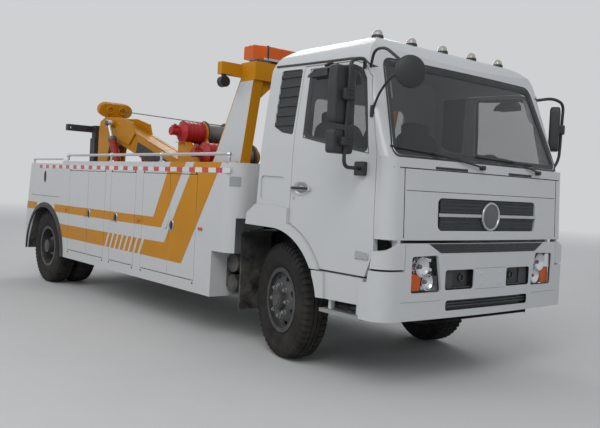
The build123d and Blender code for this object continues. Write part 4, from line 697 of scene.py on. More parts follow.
def add_tyre(bm, centre, axis, phase):
    """Adds one tyre about its centre, with the lugs turned by a phase."""
    axis = Vector(axis).normalized()
    up = Vector((0, 0, 1))
    ahead = axis.cross(up)
    profile = [(w, r, 0) for w, r in BEAD] + [(w, r, -1) for w, r in SHOULDER] + [(w, r, 0) for w, r in RIBS]
    profile += [(-w, r, 1) for w, r in SHOULDER[::-1]] + [(-w, r, 0) for w, r in BEAD[::-1]]
    rings = []
    for lug in range(LUGS):
        for k, part in enumerate(LUG_STEPS):
            a = 2 * math.pi * (lug + part + phase) / LUGS
            out = math.cos(a) * ahead + math.sin(a) * up
            zigzag = ZIGZAG * (1 if k in (1, 2) else -1)
            ring = []
            for w, r, edge in profile:
                slot_here = k in (1, 2) if edge < 0 else k in (0, 3, 4)
                if edge < 0 and slot_here or edge > 0 and k in (3, 4):
                    r -= LUG_DEPTH * (min((abs(w) - SHOULDER_IN) / 0.03 + 0.35, 1.0) if abs(w) < SIDEWALL else 0.55)
                    w -= math.copysign(0.006, w) if abs(w) > 0.1 else 0
                elif not edge and abs(w) < RIB_EDGE:
                    w += zigzag
                ring.append(Vector(centre) + axis * w + out * r)
            rings.append(ring)
    add_rows(bm, rings, closed=True)


NUT_CIRCLE, NUT_COUNT = 0.137, 8


def around(centre, axis, radius, count, phase=0.0):
    """Gives places on a circle about a level axis, turned by a part of their distance."""
    up = Vector((0, 0, 1))
    ahead = Vector(axis).normalized().cross(up)
    turns = [2 * math.pi * (k + phase) / count for k in range(count)]
    return [Vector(centre) + radius * (math.cos(a) * ahead + math.sin(a) * up) for a in turns]


def add_nuts(bm, centre, axis, face):
    """Adds wheel nuts with their studs on a circle, at a distance along the axis."""
    axis = Vector(axis).normalized()
    for place in around(centre, axis, NUT_CIRCLE, NUT_COUNT):
        add_rod(bm, place + axis * (face - 0.004), place + axis * (face + 0.003), 0.023, sides=20)
        add_rod(bm, place + axis * (face + 0.003), place + axis * (face + 0.026), 0.0185, 0.0175, sides=6)
        add_rod(bm, place + axis * (face + 0.026), place + axis * (face + 0.036), 0.009, 0.008, sides=12)


KINGPIN_Y, WHEEL_OFFSET = 0.820, 0.085
TWIN_Y = (1.062, 0.757)
spin = Matrix.Rotation(REST_STEER, 3, "Z")
for side_name, side in SIDES:
    kingpin = Vector((AXLE_X, side * KINGPIN_Y, TYRE_R))
    front_centre = kingpin + spin @ Vector((0, side * WHEEL_OFFSET, 0))
    out = spin @ Vector((0, side, 0))
    bm = bmesh.new()
    add_tyre(bm, front_centre, out, 0.2)
    piece(f"tread_front_{side_name}", bm, f"front_wheel_{side_name}", "tyre_black",
          replaces=[f"front_tyre_{side_name}"])
    bm = bmesh.new()
    add_nuts(bm, front_centre, out, 0.104)
    piece(f"nuts_front_{side_name}", bm, f"front_wheel_{side_name}", "drum_steel", SILVER, smooth=False)
    bm = bmesh.new()
    add_turned(bm, front_centre, out, [(0.110, 0.086), (0.146, 0.080), (0.150, 0.072), (0.150, 0.058), (0.158, 0.052),
                                       (0.160, 0.0)])
    for place in around(front_centre + out * 0.150, out, 0.066, 8, 0.5):
        add_rod(bm, place - out * 0.002, place + out * 0.006, 0.006, sides=6)
    piece(f"hubcap_front_{side_name}", bm, f"front_wheel_{side_name}", "rim_grey")
    bm = bmesh.new()
    rear_centre = Vector((st(REAR_AXLE), side * TWIN_Y[0], TYRE_R))
    for k, y in enumerate(TWIN_Y):
        add_tyre(bm, (st(REAR_AXLE), side * y, TYRE_R), (0, side, 0), 0.37 * k + 0.1)
    piece(f"tread_rear_{side_name}", bm, f"rear_wheel_{side_name}", "tyre_black", replaces=[f"rear_tyre_{side_name}"])
    bm = bmesh.new()
    add_nuts(bm, rear_centre, (0, side, 0), -0.050)
    piece(f"nuts_rear_{side_name}", bm, f"rear_wheel_{side_name}", "drum_steel", SILVER, smooth=False)
    bm = bmesh.new()
    add_turned(bm, rear_centre, (0, side, 0), [(0.090, 0.090), (0.112, 0.090), (0.121, 0.082), (0.121, 0.060),
                                               (0.128, 0.054), (0.128, 0.0)])
    piece(f"hubcap_rear_{side_name}", bm, f"rear_wheel_{side_name}", "rim_grey")

# Front panel: painted shadow lines at the panel seams, screen surround, wipers, grille trim and a plain round disc
cab_cast = surface("cab_shell", "cab_glass", "cab_vents")
FRONT_OUT = Vector((1, 0, 0))


def front_line(bm, start, end, width, steps, lift=0.0012, cast=cab_cast):
    """Adds a thin band over the front between two places of Y and Z."""
    points = []
    for k in range(steps + 1):
        t = k / steps
        hit = on_front(cast, start[0] + (end[0] - start[0]) * t, start[1] + (end[1] - start[1]) * t)
        if hit is not None:
            points.append(hit - FRONT_OUT * 0.001)
    if len(points) < 2:
        return
    edge = Vector((0, end[0] - start[0], end[1] - start[1])).normalized()
    half = Vector((0, -edge.z, edge.y)) * width / 2
    add_strip(bm, [(p + half, p - half) for p in points], FRONT_OUT * (lift + 0.001))


# Painted shadow lines along the front's panel seams
bm = bmesh.new()
front_line(bm, (-1.10, 1.690), (1.10, 1.690), 0.008, 40)
for y in (-1.0, 1.0):
    front_line(bm, (y, 1.175), (y, 1.690), 0.007, 8)
front_line(bm, (-0.98, 1.525), (0.98, 1.525), 0.004, 30)
piece("front_seams", bm, "cab", "trim_dark", SEAM_SHADOW, smooth=False)

bm = bmesh.new()
SCREEN = [(-1.068, 1.786), (-0.950, 2.522), (0.950, 2.522), (1.068, 1.786)]
screen_edge = rounded(SCREEN, 0.07, 8)
rows = []
for i, p in enumerate(screen_edge):
    q = screen_edge[(i + 1) % len(screen_edge)]
    along = q - p
    steps = max(int(along.length / 0.05), 1)
    across = Vector((along.y, -along.x)).normalized()
    for k in range(steps):
        edge = p + along * k / steps
        row = [on_front(cab_cast, *(edge + across * width)) for width in (-0.020, 0.040)]
        if None not in row:
            rows.append(row)
add_strip(bm, rows, FRONT_OUT * 0.004, closed=True)
piece("screen_rubber", bm, "cab", "trim_dark")

WIPERS = (((-1.09, 1.846), (-0.67, 1.818), (-0.15, 1.735)), ((-0.135, 1.829), (0.325, 1.815), (0.653, 1.736)))
bm = bmesh.new()
for tip, middle, pivot in WIPERS:
    base = on_front(cab_cast, *pivot)
    clip_place = on_front(cab_cast, *middle)
    end = on_front(cab_cast, *tip)
    add_rod(bm, base - FRONT_OUT * 0.01, base + FRONT_OUT * 0.04, 0.019, sides=20)
    add_tube(bm, [base + FRONT_OUT * 0.034, (base + clip_place) / 2 + FRONT_OUT * 0.050,
                  clip_place + FRONT_OUT * 0.030], 0.0085, sides=8)
    ends = [clip_place + (end - clip_place) * t for t in (-0.75, -0.4, 0.0, 0.4, 0.8, 1.0)]
    blade = []
    for place in ends:
        hit = on_front(cab_cast, place.y, place.z)
        blade.append((hit if hit is not None else place) + FRONT_OUT * 0.012)
    add_tube(bm, blade, 0.0075, sides=6, steps=3)
piece("wipers", bm, "cab", "trim_dark")

# Painted shade in the two cowl slots below the screen
bm = bmesh.new()
for y0, y1 in ((-0.68, -0.31), (0.23, 0.58)):
    front_line(bm, (y0, 1.706), (y1, 1.706), 0.020, 10, lift=0.0015)
piece("cowl_slots", bm, "cab", "trim_dark", SEAM_SHADOW, smooth=False)

GRILLE_X = st(1.368)
BADGE_Z = 1.347
NET_HALF, NET_LOW, NET_HIGH, NET_LEAN = 0.62, 1.245, 1.466, 0.221
WIRE_PITCH, WIRE_WIDTH = 0.018, 0.006
bm = bmesh.new()
add_box(bm, (GRILLE_X + 0.006, -0.640, 1.337), (GRILLE_X + 0.030, 0.640, 1.363))
add_turned(bm, (GRILLE_X + 0.018, 0, BADGE_Z), (1, 0, 0),
           [(0.0, 0.118), (0.016, 0.118), (0.022, 0.112), (0.022, 0.102), (0.012, 0.096), (0.0, 0.096)], closed=True)
piece("grille_bar", bm, "cab", "rail_chrome", SILVER, bevel=0.003)
bm = bmesh.new()
add_turned(bm, (GRILLE_X + 0.018, 0, BADGE_Z), (1, 0, 0), [(0.0, 0.097), (0.013, 0.097), (0.016, 0.06), (0.0175, 0.0)])
piece("badge_place", bm, "cab", "drum_steel")
bm = bmesh.new()
for lean in (-NET_LEAN, NET_LEAN):
    for k in range(-13, 82):
        y = -NET_HALF + k * WIRE_PITCH
        corners = [(y, NET_LOW), (y + WIRE_WIDTH, NET_LOW), (y + WIRE_WIDTH + lean, NET_HIGH), (y + lean, NET_HIGH)]
        wire = inside(corners, -NET_HALF, NET_HALF, NET_LOW, NET_HIGH)
        if wire:
            add_prism(bm, [(GRILLE_X + 0.010, y, z) for y, z in wire], [(GRILLE_X + 0.017, y, z) for y, z in wire])
piece("grille_mesh", bm, "cab", "trim_dark", finish("net_grey", (0.070, 0.072, 0.080), 0.55, dirt=0.3), smooth=False)

# Bumper: a louvred panel in its top, dark linings in its openings, small bosses on its bare middle
bumper_cast = surface("front_bumper")
bm = bmesh.new()
PANEL_STEPS, PANEL_FOOT, PANEL_TOP = 40, (0.620, 1.062), (0.755, 1.133)
pairs = [[on_front(bumper_cast, half * (2 * k / PANEL_STEPS - 1), z) - FRONT_OUT * 0.001
          for half, z in (PANEL_FOOT, PANEL_TOP)] for k in range(PANEL_STEPS + 1)]
add_strip(bm, pairs, FRONT_OUT * 0.003)
piece("bumper_louvre_panel", bm, "chassis", "trim_dark")
bm = bmesh.new()
for half, z in ((0.735, 1.126), (0.704, 1.109), (0.673, 1.092), (0.642, 1.075)):
    front_line(bm, (-half, z), (half, z), 0.0065, 36, lift=0.007, cast=bumper_cast)
for y in (-0.36, 0.0, 0.36):
    front_line(bm, (y, 1.068), (y, 1.130), 0.005, 3, lift=0.006, cast=bumper_cast)
piece("bumper_louvres", bm, "chassis", "trim_dark", DASH, smooth=False)
HOLES = ([(-0.556, 0.775), (-0.556, 0.930), (-0.215, 0.930), (-0.215, 0.775)],
         [(0.215, 0.775), (0.215, 0.930), (0.556, 0.930), (0.556, 0.775)],
         [(-0.540, 0.615), (-0.540, 0.695), (0.540, 0.695), (0.540, 0.615)])
bm = bmesh.new()
for hole in HOLES:
    edge = rounded(hole, 0.026)
    outer = max((y for y, z in hole), key=abs)
    rim_x = on_front(bumper_cast, outer + math.copysign(0.015, outer), hole[0][1] + 0.03).x
    add_frame(bm, resized(edge, 0.006), resized(edge, -0.003), st(1.3865), rim_x)
    add_prism(bm, [(st(1.3855), y, z) for y, z in edge], [(st(1.3875), y, z) for y, z in edge])
piece("bumper_linings", bm, "chassis", "lamp_black")
bm = bmesh.new()
for side in BOTH:
    add_box(bm, (st(1.387), side * 0.440, 0.780), (st(1.396), side * 0.552, 0.926))
    add_box(bm, (st(1.387), side * 0.220, 0.779), (st(1.402), side * 0.440, 0.792))
    add_turned(bm, (st(1.387), side * 0.33, 0.862), (1, 0, 0),
               [(0.0, 0.034), (0.012, 0.034), (0.012, 0.024), (0.0, 0.024)], sides=24, closed=True)
for z in (0.636, 0.660):
    add_box(bm, (st(1.387), -0.533, z), (st(1.404), 0.533, z + 0.013))
piece("bumper_inserts", bm, "chassis", "trim_dark", DASH, bevel=0.003)
bm = bmesh.new()
for y in (-0.125, 0.125):
    for z in (0.812, 0.893):
        hit = on_front(bumper_cast, y, z)
        add_turned(bm, hit, (1, 0, 0), [(-0.001, 0.014), (0.003, 0.013), (0.005, 0.009), (0.005, 0.0)], sides=24)
piece("plate_bosses", bm, "chassis", "body_white")
# Painted shadow lines along the bumper's creases, around the plate place and beside the lower openings
bm = bmesh.new()
for z in (0.770, 0.935):
    front_line(bm, (-0.205, z), (0.205, z), 0.003, 8, lift=0.0008, cast=bumper_cast)
for side in BOTH:
    front_line(bm, (side * 0.60, 0.700), (side * 1.02, 0.700), 0.003, 12, lift=0.0008, cast=bumper_cast)
piece("bumper_creases", bm, "chassis", "body_white", finish("crease_shadow", (0.22, 0.22, 0.225), 0.6), smooth=False)
bm = bmesh.new()
add_prism(bm, [(st(1.24), -0.72, 0.556), (st(1.345), -0.66, 0.556), (st(1.345), 0.66, 0.556), (st(1.24), 0.72, 0.556)],
          [(st(1.26), -0.72, 0.512), (st(1.335), -0.66, 0.512), (st(1.335), 0.66, 0.512), (st(1.26), 0.72, 0.512)])
piece("bumper_lower_lip", bm, "chassis", "trim_dark", bevel=0.006)

# Headlamps: a faceted silver bowl with two reflectors behind the clear lens, an amber lamp in the lower outer corner
LAMP = [(0.588, 0.765), (0.648, 1.045), (0.920, 1.037), (0.920, 0.765)]
LAMP_LOW, LAMP_SLOPE, LAMP_INNER, LAMP_OUTER = 0.765, 0.2143, 0.596, 0.914
FACET_ROWS, FACET_COLUMNS, FACET_RISE, FACET_TILT = 11, 9, 0.024, 0.010
REFLECTOR = finish("reflector_bright", (0.78, 0.79, 0.81), 0.07, metal=1.0, mottle=0.02, bump=0.0)
for side_name, side in SIDES:
    back = st(1.340)
    bm = bmesh.new()
    for i in range(FACET_ROWS):
        for j in range(FACET_COLUMNS):
            z = LAMP_LOW + 0.007 + i * FACET_RISE
            inner_edge = LAMP_INNER + (z - LAMP_LOW) * LAMP_SLOPE
            width = (LAMP_OUTER - inner_edge) / FACET_COLUMNS
            y = inner_edge + j * width
            tilt_z = FACET_TILT * math.sin(i * 2.1 + j * 1.3)
            tilt_y = FACET_TILT * math.cos(i * 1.7 - j * 2.3)
            corners = box_outline(y, y + width, z, z + FACET_RISE - 0.0005)
            tilts = (-tilt_z - tilt_y, -tilt_z + tilt_y, tilt_z + tilt_y, tilt_z - tilt_y)
            add_prism(bm, [(back - 0.02, side * p, q) for p, q in corners],
                      [(back - 0.006 + tilt, side * p, q) for tilt, (p, q) in zip(tilts, corners)])
    for y, z, r in ((0.778, 0.955, 0.072), (0.715, 0.838, 0.060)):
        add_turned(bm, (back + 0.002, side * y, z), (1, 0, 0),
                   [(0.0, r * 0.22), (0.004, r * 0.42), (0.010, r * 0.55), (0.014, r * 0.66), (0.024, r * 0.84),
                    (0.036, r), (0.036, r + 0.005), (0.0, r + 0.005)], sides=16, closed=True)
    piece(f"lamp_bowl_{side_name}", bm, "chassis", "rail_chrome", REFLECTOR, smooth=False)
    bm = bmesh.new()
    for y, z, r in ((0.778, 0.955, 0.017), (0.715, 0.838, 0.015)):
        add_turned(bm, (back, side * y, z), (1, 0, 0), [(0.0, r), (0.020, r), (0.027, r * 0.6), (0.028, 0.0)], sides=20)
    piece(f"lamp_bulbs_{side_name}", bm, "chassis", "drum_steel")
    bm = bmesh.new()
    corner = rounded([(0.800, 0.776), (0.786, 0.886), (0.910, 0.912), (0.912, 0.776)], 0.012)
    add_prism(bm, [(back + 0.002, side * y, z) for y, z in corner], [(back + 0.034, side * y, z) for y, z in corner])
    piece(f"indicator_{side_name}", bm, "chassis", "amber_lens", bevel=0.006)
    bm = bmesh.new()
    edge = [Vector((side * y, z)) for y, z in rounded(LAMP, 0.022)]
    add_frame(bm, resized(edge, -0.001), resized(edge, -0.008), st(1.385), st(1.3935))
    piece(f"lamp_gasket_{side_name}", bm, "chassis", "trim_dark")

# Doors: window rubbers, handle recesses with their grabs, locks and side lamps
DOOR_Y = 1.1495
WINDOW_MIDDLE, WINDOW_STEPS = (0.72, 2.14), 14
WINDOW = [(0.338, 1.925), (0.350, 2.482), (0.862, 2.468), (0.960, 2.432), (1.012, 2.350), (1.112, 1.790)]
for side_name, side in SIDES:
    cast = surface(f"cab_door_{side_name}", f"door_glass_{side_name}")
    bm = bmesh.new()
    rows = []
    for i, (x0, z0) in enumerate(WINDOW):
        x1, z1 = WINDOW[(i + 1) % len(WINDOW)]
        for k in range(WINDOW_STEPS):
            t = k / WINDOW_STEPS
            x, z = x0 + (x1 - x0) * t, z0 + (z1 - z0) * t
            toward = Vector((WINDOW_MIDDLE[0] - x, WINDOW_MIDDLE[1] - z)).normalized()
            a = on_side(cast, st(x + toward.x * 0.030), z + toward.y * 0.030, side)
            b = on_side(cast, st(x - toward.x * 0.010), z - toward.y * 0.010, side)
            if a is not None and b is not None:
                rows.append((a, b))
    add_strip(bm, rows, Vector((0, side * 0.003, 0)), closed=True)
    piece(f"window_rubber_{side_name}", bm, f"door_{side_name}", "trim_dark")
    bm = bmesh.new()
    add_turned(bm, (st(0.345), side * DOOR_Y, 1.500), (0, side, 0),
               [(0.0, 0.060), (0.003, 0.060), (0.004, 0.054), (0.001, 0.048), (0.0, 0.0)], sides=40)
    stretch_along(bm, 0.345, 1.7)
    add_turned(bm, (st(0.255), side * DOOR_Y, 1.420), (0, side, 0),
               [(0.0, 0.013), (0.004, 0.013), (0.005, 0.009), (0.005, 0.0)], sides=20)
    piece(f"handle_recess_{side_name}", bm, f"door_{side_name}", "rail_chrome", SILVER)
    bm = bmesh.new()
    grab = [(0.232, 1.158, 1.500), (0.260, 1.178, 1.502), (0.350, 1.182, 1.503), (0.440, 1.178, 1.502),
            (0.468, 1.158, 1.500)]
    add_tube(bm, placed(grab, side), 0.012, sides=10)
    piece(f"handle_{side_name}", bm, f"door_{side_name}", "trim_dark")
    bm = bmesh.new()
    add_box(bm, (st(1.030), side * DOOR_Y, 0.992), (st(1.172), side * 1.158, 1.052))
    piece(f"side_lamp_{side_name}", bm, f"door_{side_name}", "clear_lens", SILVER, bevel=0.006)

# Mirrors: heads clamped to a bent tube. The right set has two heads, a round one on its own arm and a small hooded
# one above the door. The left one has a single head, turned inwards, and the hooded one.
ARM_Y = 1.400
HEAD_DEPTH, HEAD_WIDTH = 0.094, 0.200
MIRROR_SETS = (("right", -1, [(1.120, ARM_Y, 1.670), (1.060, 1.170, 1.670)], 1.670,
                ((1.070, 1.408, 1.980, 2.400), (1.070, 1.408, 1.765, 1.940)), 0.0),
               ("left", 1, [(1.125, ARM_Y, 1.900), (1.095, 1.300, 1.760), (1.060, 1.170, 1.700)], 1.700,
                ((1.090, 1.350, 1.980, 2.400),), math.radians(30)))
for side_name, side, low_end, foot_z, heads, yaw in MIRROR_SETS:
    bm, faces = bmesh.new(), bmesh.new()
    path = [(0.950, 1.078, 2.435), (1.120, 1.240, 2.475), (1.140, ARM_Y, 2.440)] + low_end
    add_tube(bm, rounded(placed(path, side), 0.07, 8, closed=False), 0.014, sides=14, steps=1)
    add_tube(bm, placed([(0.620, 1.090, 2.494), (0.640, 1.150, 2.500), (0.650, 1.215, 2.470)], side), 0.011, sides=10)
    for x, y, z in ((0.962, 1.090, 2.438), (1.066, 1.158, foot_z)):
        add_pillow(bm, (st(x), side * y, z), (0.085, 0.030, 0.060), cells=6)
    add_pillow(bm, (st(1.060), side * 1.171, foot_z), (0.106, 0.040, 0.106), power=12, cells=8)
    for x, y, low, high in heads:
        centre = Vector((st(x), side * y, (low + high) / 2))
        add_pillow(bm, centre, (HEAD_DEPTH, HEAD_WIDTH, high - low), power=9, cells=14, yaw=yaw)
        spin = Matrix.Rotation(yaw, 3, "Z")
        edge = rounded([(-1, -1), (-1, 1), (1, 1), (1, -1)], 0.22)
        half_y, half_z = HEAD_WIDTH / 2 - 0.012, (high - low) / 2 - 0.014
        add_prism(faces, *[[centre + spin @ Vector((-HEAD_DEPTH / 2 - back, p.x * half_y, p.y * half_z)) for p in edge]
                           for back in (-0.001, 0.0008)])
        reach = 0.085 if high - low > 0.3 else 0.062
        add_pillow(bm, (st(1.130), side * (ARM_Y + 0.006), centre.z), (0.062, 0.096, reach), power=10, cells=8, yaw=yaw)
        for z in (-0.36, 0, 0.36):
            add_pillow(bm, (st(1.132), side * (ARM_Y - 0.006), centre.z + reach * z), (0.070, 0.066, 0.010), power=6,
                       cells=4, yaw=yaw)
    if side_name == "right":
        path = [(1.020, 1.085, 2.430), (1.160, 1.190, 2.540), (1.330, 1.250, 2.530), (1.590, 1.312, 2.372)]
        add_tube(bm, rounded(placed(path, side), 0.08, 8, closed=False), 0.011, sides=12, steps=1)
        path = [(1.592, 1.312, 2.362), (1.330, 1.215, 2.290), (1.200, 1.160, 2.220), (1.118, 1.135, 2.110)]
        add_tube(bm, rounded(placed(path, side), 0.06, 6, closed=False), 0.009, sides=12, steps=1)
        add_pillow(bm, (st(1.116), side * 1.134, 2.100), (0.030, 0.026, 0.090), cells=6)
        out = Vector((math.cos(0.45), side * math.sin(0.45), 0))
        centre = Vector((st(1.650), side * 1.320, 2.318))
        add_turned(bm, centre, out, [(-0.020, 0.0), (-0.021, 0.104), (-0.017, 0.110), (-0.004, 0.112), (0.008, 0.105),
                                     (0.017, 0.085), (0.023, 0.050), (0.026, 0.0)], sides=56)
        add_turned(bm, centre + Vector((-0.012, -side * 0.030, 0.050)), out,
                   [(0.010, 0.030), (0.034, 0.028), (0.040, 0.020), (0.041, 0.0)], sides=28)
        add_turned(faces, centre, out, [(-0.0205, 0.100), (-0.0222, 0.098), (-0.0226, 0.050), (-0.0228, 0.0)], sides=56)
    hood = [(0.500, 2.386), (0.520, 2.420), (0.610, 2.470), (0.660, 2.488), (0.755, 2.488), (0.762, 2.400),
            (0.755, 2.378), (0.510, 2.375)]
    rim = [(0.512, 2.386), (0.530, 2.404), (0.615, 2.424), (0.660, 2.432), (0.748, 2.430), (0.754, 2.396),
           (0.748, 2.380), (0.522, 2.377)]
    add_prism(bm, [(st(x), side * 1.172, z) for x, z in hood], [(st(x), side * 1.280, z) for x, z in rim])
    piece(f"mirror_set_{side_name}", bm, f"door_{side_name}", "trim_dark", replaces=[f"mirrors_{side_name}"])
    piece(f"mirror_faces_{side_name}", faces, f"door_{side_name}", "rail_chrome", MIRROR)

# Roof: domed lamps along its front and a gutter above each door
roof_cast = surface("cab_shell")
bm, feet = bmesh.new(), bmesh.new()
for y in (-0.8, -0.4, 0.0, 0.4, 0.8):
    place = roof_cast((st(0.790), y, 4.0), (0, 0, -1))
    add_turned(bm, place, (0, 0, 1), [(0.008, 0.043), (0.024, 0.042), (0.042, 0.036), (0.054, 0.025), (0.060, 0.012),
                                      (0.061, 0.0)], sides=32)
    add_turned(feet, place, (0, 0, 1), [(-0.012, 0.0), (-0.012, 0.050), (0.008, 0.049), (0.011, 0.045), (0.011, 0.0)],
               sides=32)
piece("roof_lamps", bm, "cab", "clear_lens", LENS_PALE, replaces=["marker_lamps"])
piece("roof_lamp_feet", feet, "cab", "trim_dark")
GUTTER = [(-0.200, 2.552), (0.270, 2.536), (0.840, 2.522), (0.930, 2.508), (1.010, 2.478), (1.075, 2.420),
          (1.118, 2.350)]
bm = bmesh.new()
for side in BOTH:
    pairs = []
    for (x0, z0), (x1, z1) in zip(GUTTER, GUTTER[1:]):
        for k in range(8):
            x, z = x0 + (x1 - x0) * k / 8, z0 + (z1 - z0) * k / 8
            pair = [on_side(roof_cast, st(x), z + rise, side) for rise in (-0.005, 0.009)]
            if None not in pair:
                pairs.append(pair)
    add_strip(bm, pairs, Vector((0, side * 0.010, 0.003)))
piece("roof_gutters", bm, "cab", "trim_dark")

# Light bar base and the bands around it, work lamp faces, tail lamps
bm = bmesh.new()
add_box(bm, (st(-0.852), -0.90, 2.690), (st(-0.598), 0.90, 2.716))
piece("light_bar_base", bm, "chassis", "rail_chrome", SILVER, bevel=0.004)
bm = bmesh.new()
for y in (-0.86, -0.46, -0.23, 0.23, 0.46, 0.86):
    add_box(bm, (st(-0.854), y - 0.006, 2.700), (st(-0.596), y + 0.006, 2.834))
piece("light_bar_bands", bm, "chassis", "lamp_black", bevel=0.002)
bm = bmesh.new()
for side in BOTH:
    add_turned(bm, (st(-0.915), side * 1.165, 2.478), (-1, 0, 0),
               [(-0.002, 0.046), (0.004, 0.044), (0.008, 0.030), (0.009, 0.0)], sides=36)
piece("work_lamp_faces", bm, "chassis", "clear_lens", SILVER)
for colour, low, high, slot, look in (("amber", 0.84, 0.895, "amber_lens", None),
                                      ("red", 0.765, 0.835, "winch_red", RED_LENS),
                                      ("clear", 0.705, 0.76, "clear_lens", PALE_SHEET)):
    bm = bmesh.new()
    for side in BOTH:
        add_box(bm, (st(-6.060), side * 1.008, low), (st(-6.052), side * 1.192, high))
    piece(f"tail_{colour}", bm, "chassis", slot, look, bevel=0.003)

# Cab inside: dash, steering wheel, seats and the shelf behind them
bm = bmesh.new()
dash = [(1.010, 1.210), (1.010, 1.600), (1.040, 1.665), (1.130, 1.735), (1.250, 1.735), (1.285, 1.640), (1.285, 1.210)]
add_side_plate(bm, dash, -1.020, 1.020)
add_side_plate(bm, [(1.02, 1.64), (1.06, 1.77), (1.16, 1.78), (1.18, 1.70)], 0.30, 0.74)
add_side_plate(bm, [(-0.185, 1.205), (-0.185, 1.420), (-0.020, 1.420), (-0.020, 1.205)], -0.9, 0.9)
add_tube(bm, [(st(1.03), 0.52, 1.56), (st(0.94), 0.52, 1.634), (st(0.846), 0.52, 1.712)], 0.032, sides=16)
piece("cab_dash", bm, "cab", "trim_dark", DASH, bevel=0.012, replaces=["cab_interior"])
bm = bmesh.new()
GRIP_R, WHEEL_R = 0.017, 0.215
tilt = Matrix.Rotation(math.radians(-50), 3, "Y")
hub = Vector((st(0.845), 0.52, 1.712))
grip = [(GRIP_R * math.sin(b), WHEEL_R + GRIP_R * math.cos(b)) for b in (2 * math.pi * j / 12 for j in range(12))]
add_turned(bm, hub, tilt @ Vector((0, 0, 1)), grip, closed=True)
for a in (0.35, 1.9, 4.38, 5.93):
    end = hub + tilt @ Vector((0.21 * math.cos(a), 0.21 * math.sin(a), 0))
    add_tube(bm, [hub, (hub + end) / 2 + tilt @ Vector((0, 0, -0.006)), end], 0.012, sides=8)
add_turned(bm, hub, tilt @ Vector((0, 0, 1)), [(-0.02, 0.045), (0.012, 0.062), (0.020, 0.050), (0.024, 0.0)], sides=32)
piece("steering_wheel", bm, "cab", "trim_dark")

for seat_name, y, width in (("passenger", -0.52, 0.56), ("driver", 0.52, 0.56), ("middle", 0.0, 0.38)):
    bm = bmesh.new()
    add_pillow(bm, (st(0.42), y, 1.465), (0.50, width, 0.125), 0.0, 5.0, 14, 0.10, 0.07)
    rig.padded(piece(f"seat_base_{seat_name}", bm, "cab", "trim_dark", SEAT_CLOTH), fill=0.8)
    bm = bmesh.new()
    add_pillow(bm, (st(0.115), y, 1.79), (0.125, width, 0.62), math.radians(-9), 5.0, 14, 0.10, 0.07)
    add_pillow(bm, (st(0.055), y, 2.13), (0.10, width * 0.62, 0.15), math.radians(-6), 5.0, 8, 0.10, 0.07)
    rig.padded(piece(f"seat_back_{seat_name}", bm, "cab", "trim_dark", SEAT_CLOTH), fill=0.8)
    bm = bmesh.new()
    half = width / 2 - 0.03
    add_side_plate(bm, [(0.19, 1.205), (0.24, 1.405), (0.63, 1.405), (0.66, 1.205)], y - half, y + half)
    piece(f"seat_plinth_{seat_name}", bm, "cab", "trim_dark", bevel=0.01)

# Winch ropes wound on the drums: a winch's name, station, height and gearbox length
WINCHES = (("upper", -2.850, 2.120, 0.370), ("front", -2.270, 1.850, 0.400))
WRAP_R = 0.1185
for winch, station, height, _ in WINCHES:
    bm = bmesh.new()
    profile = [(-0.143, 0.096)]
    for k in range(20):
        w = -0.140 + k * 0.014
        profile += [(w, 0.1135), (w + 0.004, WRAP_R), (w + 0.010, WRAP_R)]
    profile += [(0.143, 0.1135), (0.143, 0.096)]
    add_turned(bm, (st(station), 0, height), (0, 1, 0), profile, sides=40, closed=True)
    piece(f"rope_wraps_{winch}", bm, f"drum_{winch}", "drum_steel", ROPE)

# Gantry: white panels on its outer faces and its bolted feet
bm = bmesh.new()
for side in BOTH:
    outline = [(-1.259, 1.712), (-0.779, 1.712), (-0.625, 2.492), (-0.838, 2.492)]
    add_side_plate(bm, outline, side * 0.9985, side * 1.0012)
piece("gantry_panels", bm, "chassis", "body_white", smooth=False)
bm = bmesh.new()
for side in BOTH:
    for x in (-1.24, -1.02, -0.81):
        for y in (0.872, 1.018):
            add_rod(bm, (st(x), side * y, 1.712), (st(x), side * y, 1.728), 0.011, sides=6)
    add_box(bm, (st(-1.290), side * 0.855, 1.704), (st(-0.760), side * 0.889, 1.714))
    add_box(bm, (st(-1.290), side * 1.001, 1.704), (st(-0.760), side * 1.035, 1.714))
piece("gantry_feet", bm, "chassis", "amber_yellow", bevel=0.002)

# Boom: black side panels with their bolts, a flange along its top, pin caps and the head's collars
SLOPE = math.radians(17)
BOOM_STATION, BOOM_Z = -2.950, 1.480


def on_boom(along, above):
    """Gives the X and Z of a place along and above the boom's centre line."""
    return (st(BOOM_STATION) - along * math.cos(SLOPE) + above * math.sin(SLOPE),
            BOOM_Z + along * math.sin(SLOPE) + above * math.cos(SLOPE))


def add_boom_plate(bm, s0, s1, n0, n1, y0, y1):
    """Adds a plate between two lengths, two heights and two Ys of the boom."""
    corners = [on_boom(s, n) for s, n in ((s0, n0), (s0, n1), (s1, n1), (s1, n0))]
    add_prism(bm, [(x, y0, z) for x, z in corners], [(x, y1, z) for x, z in corners])


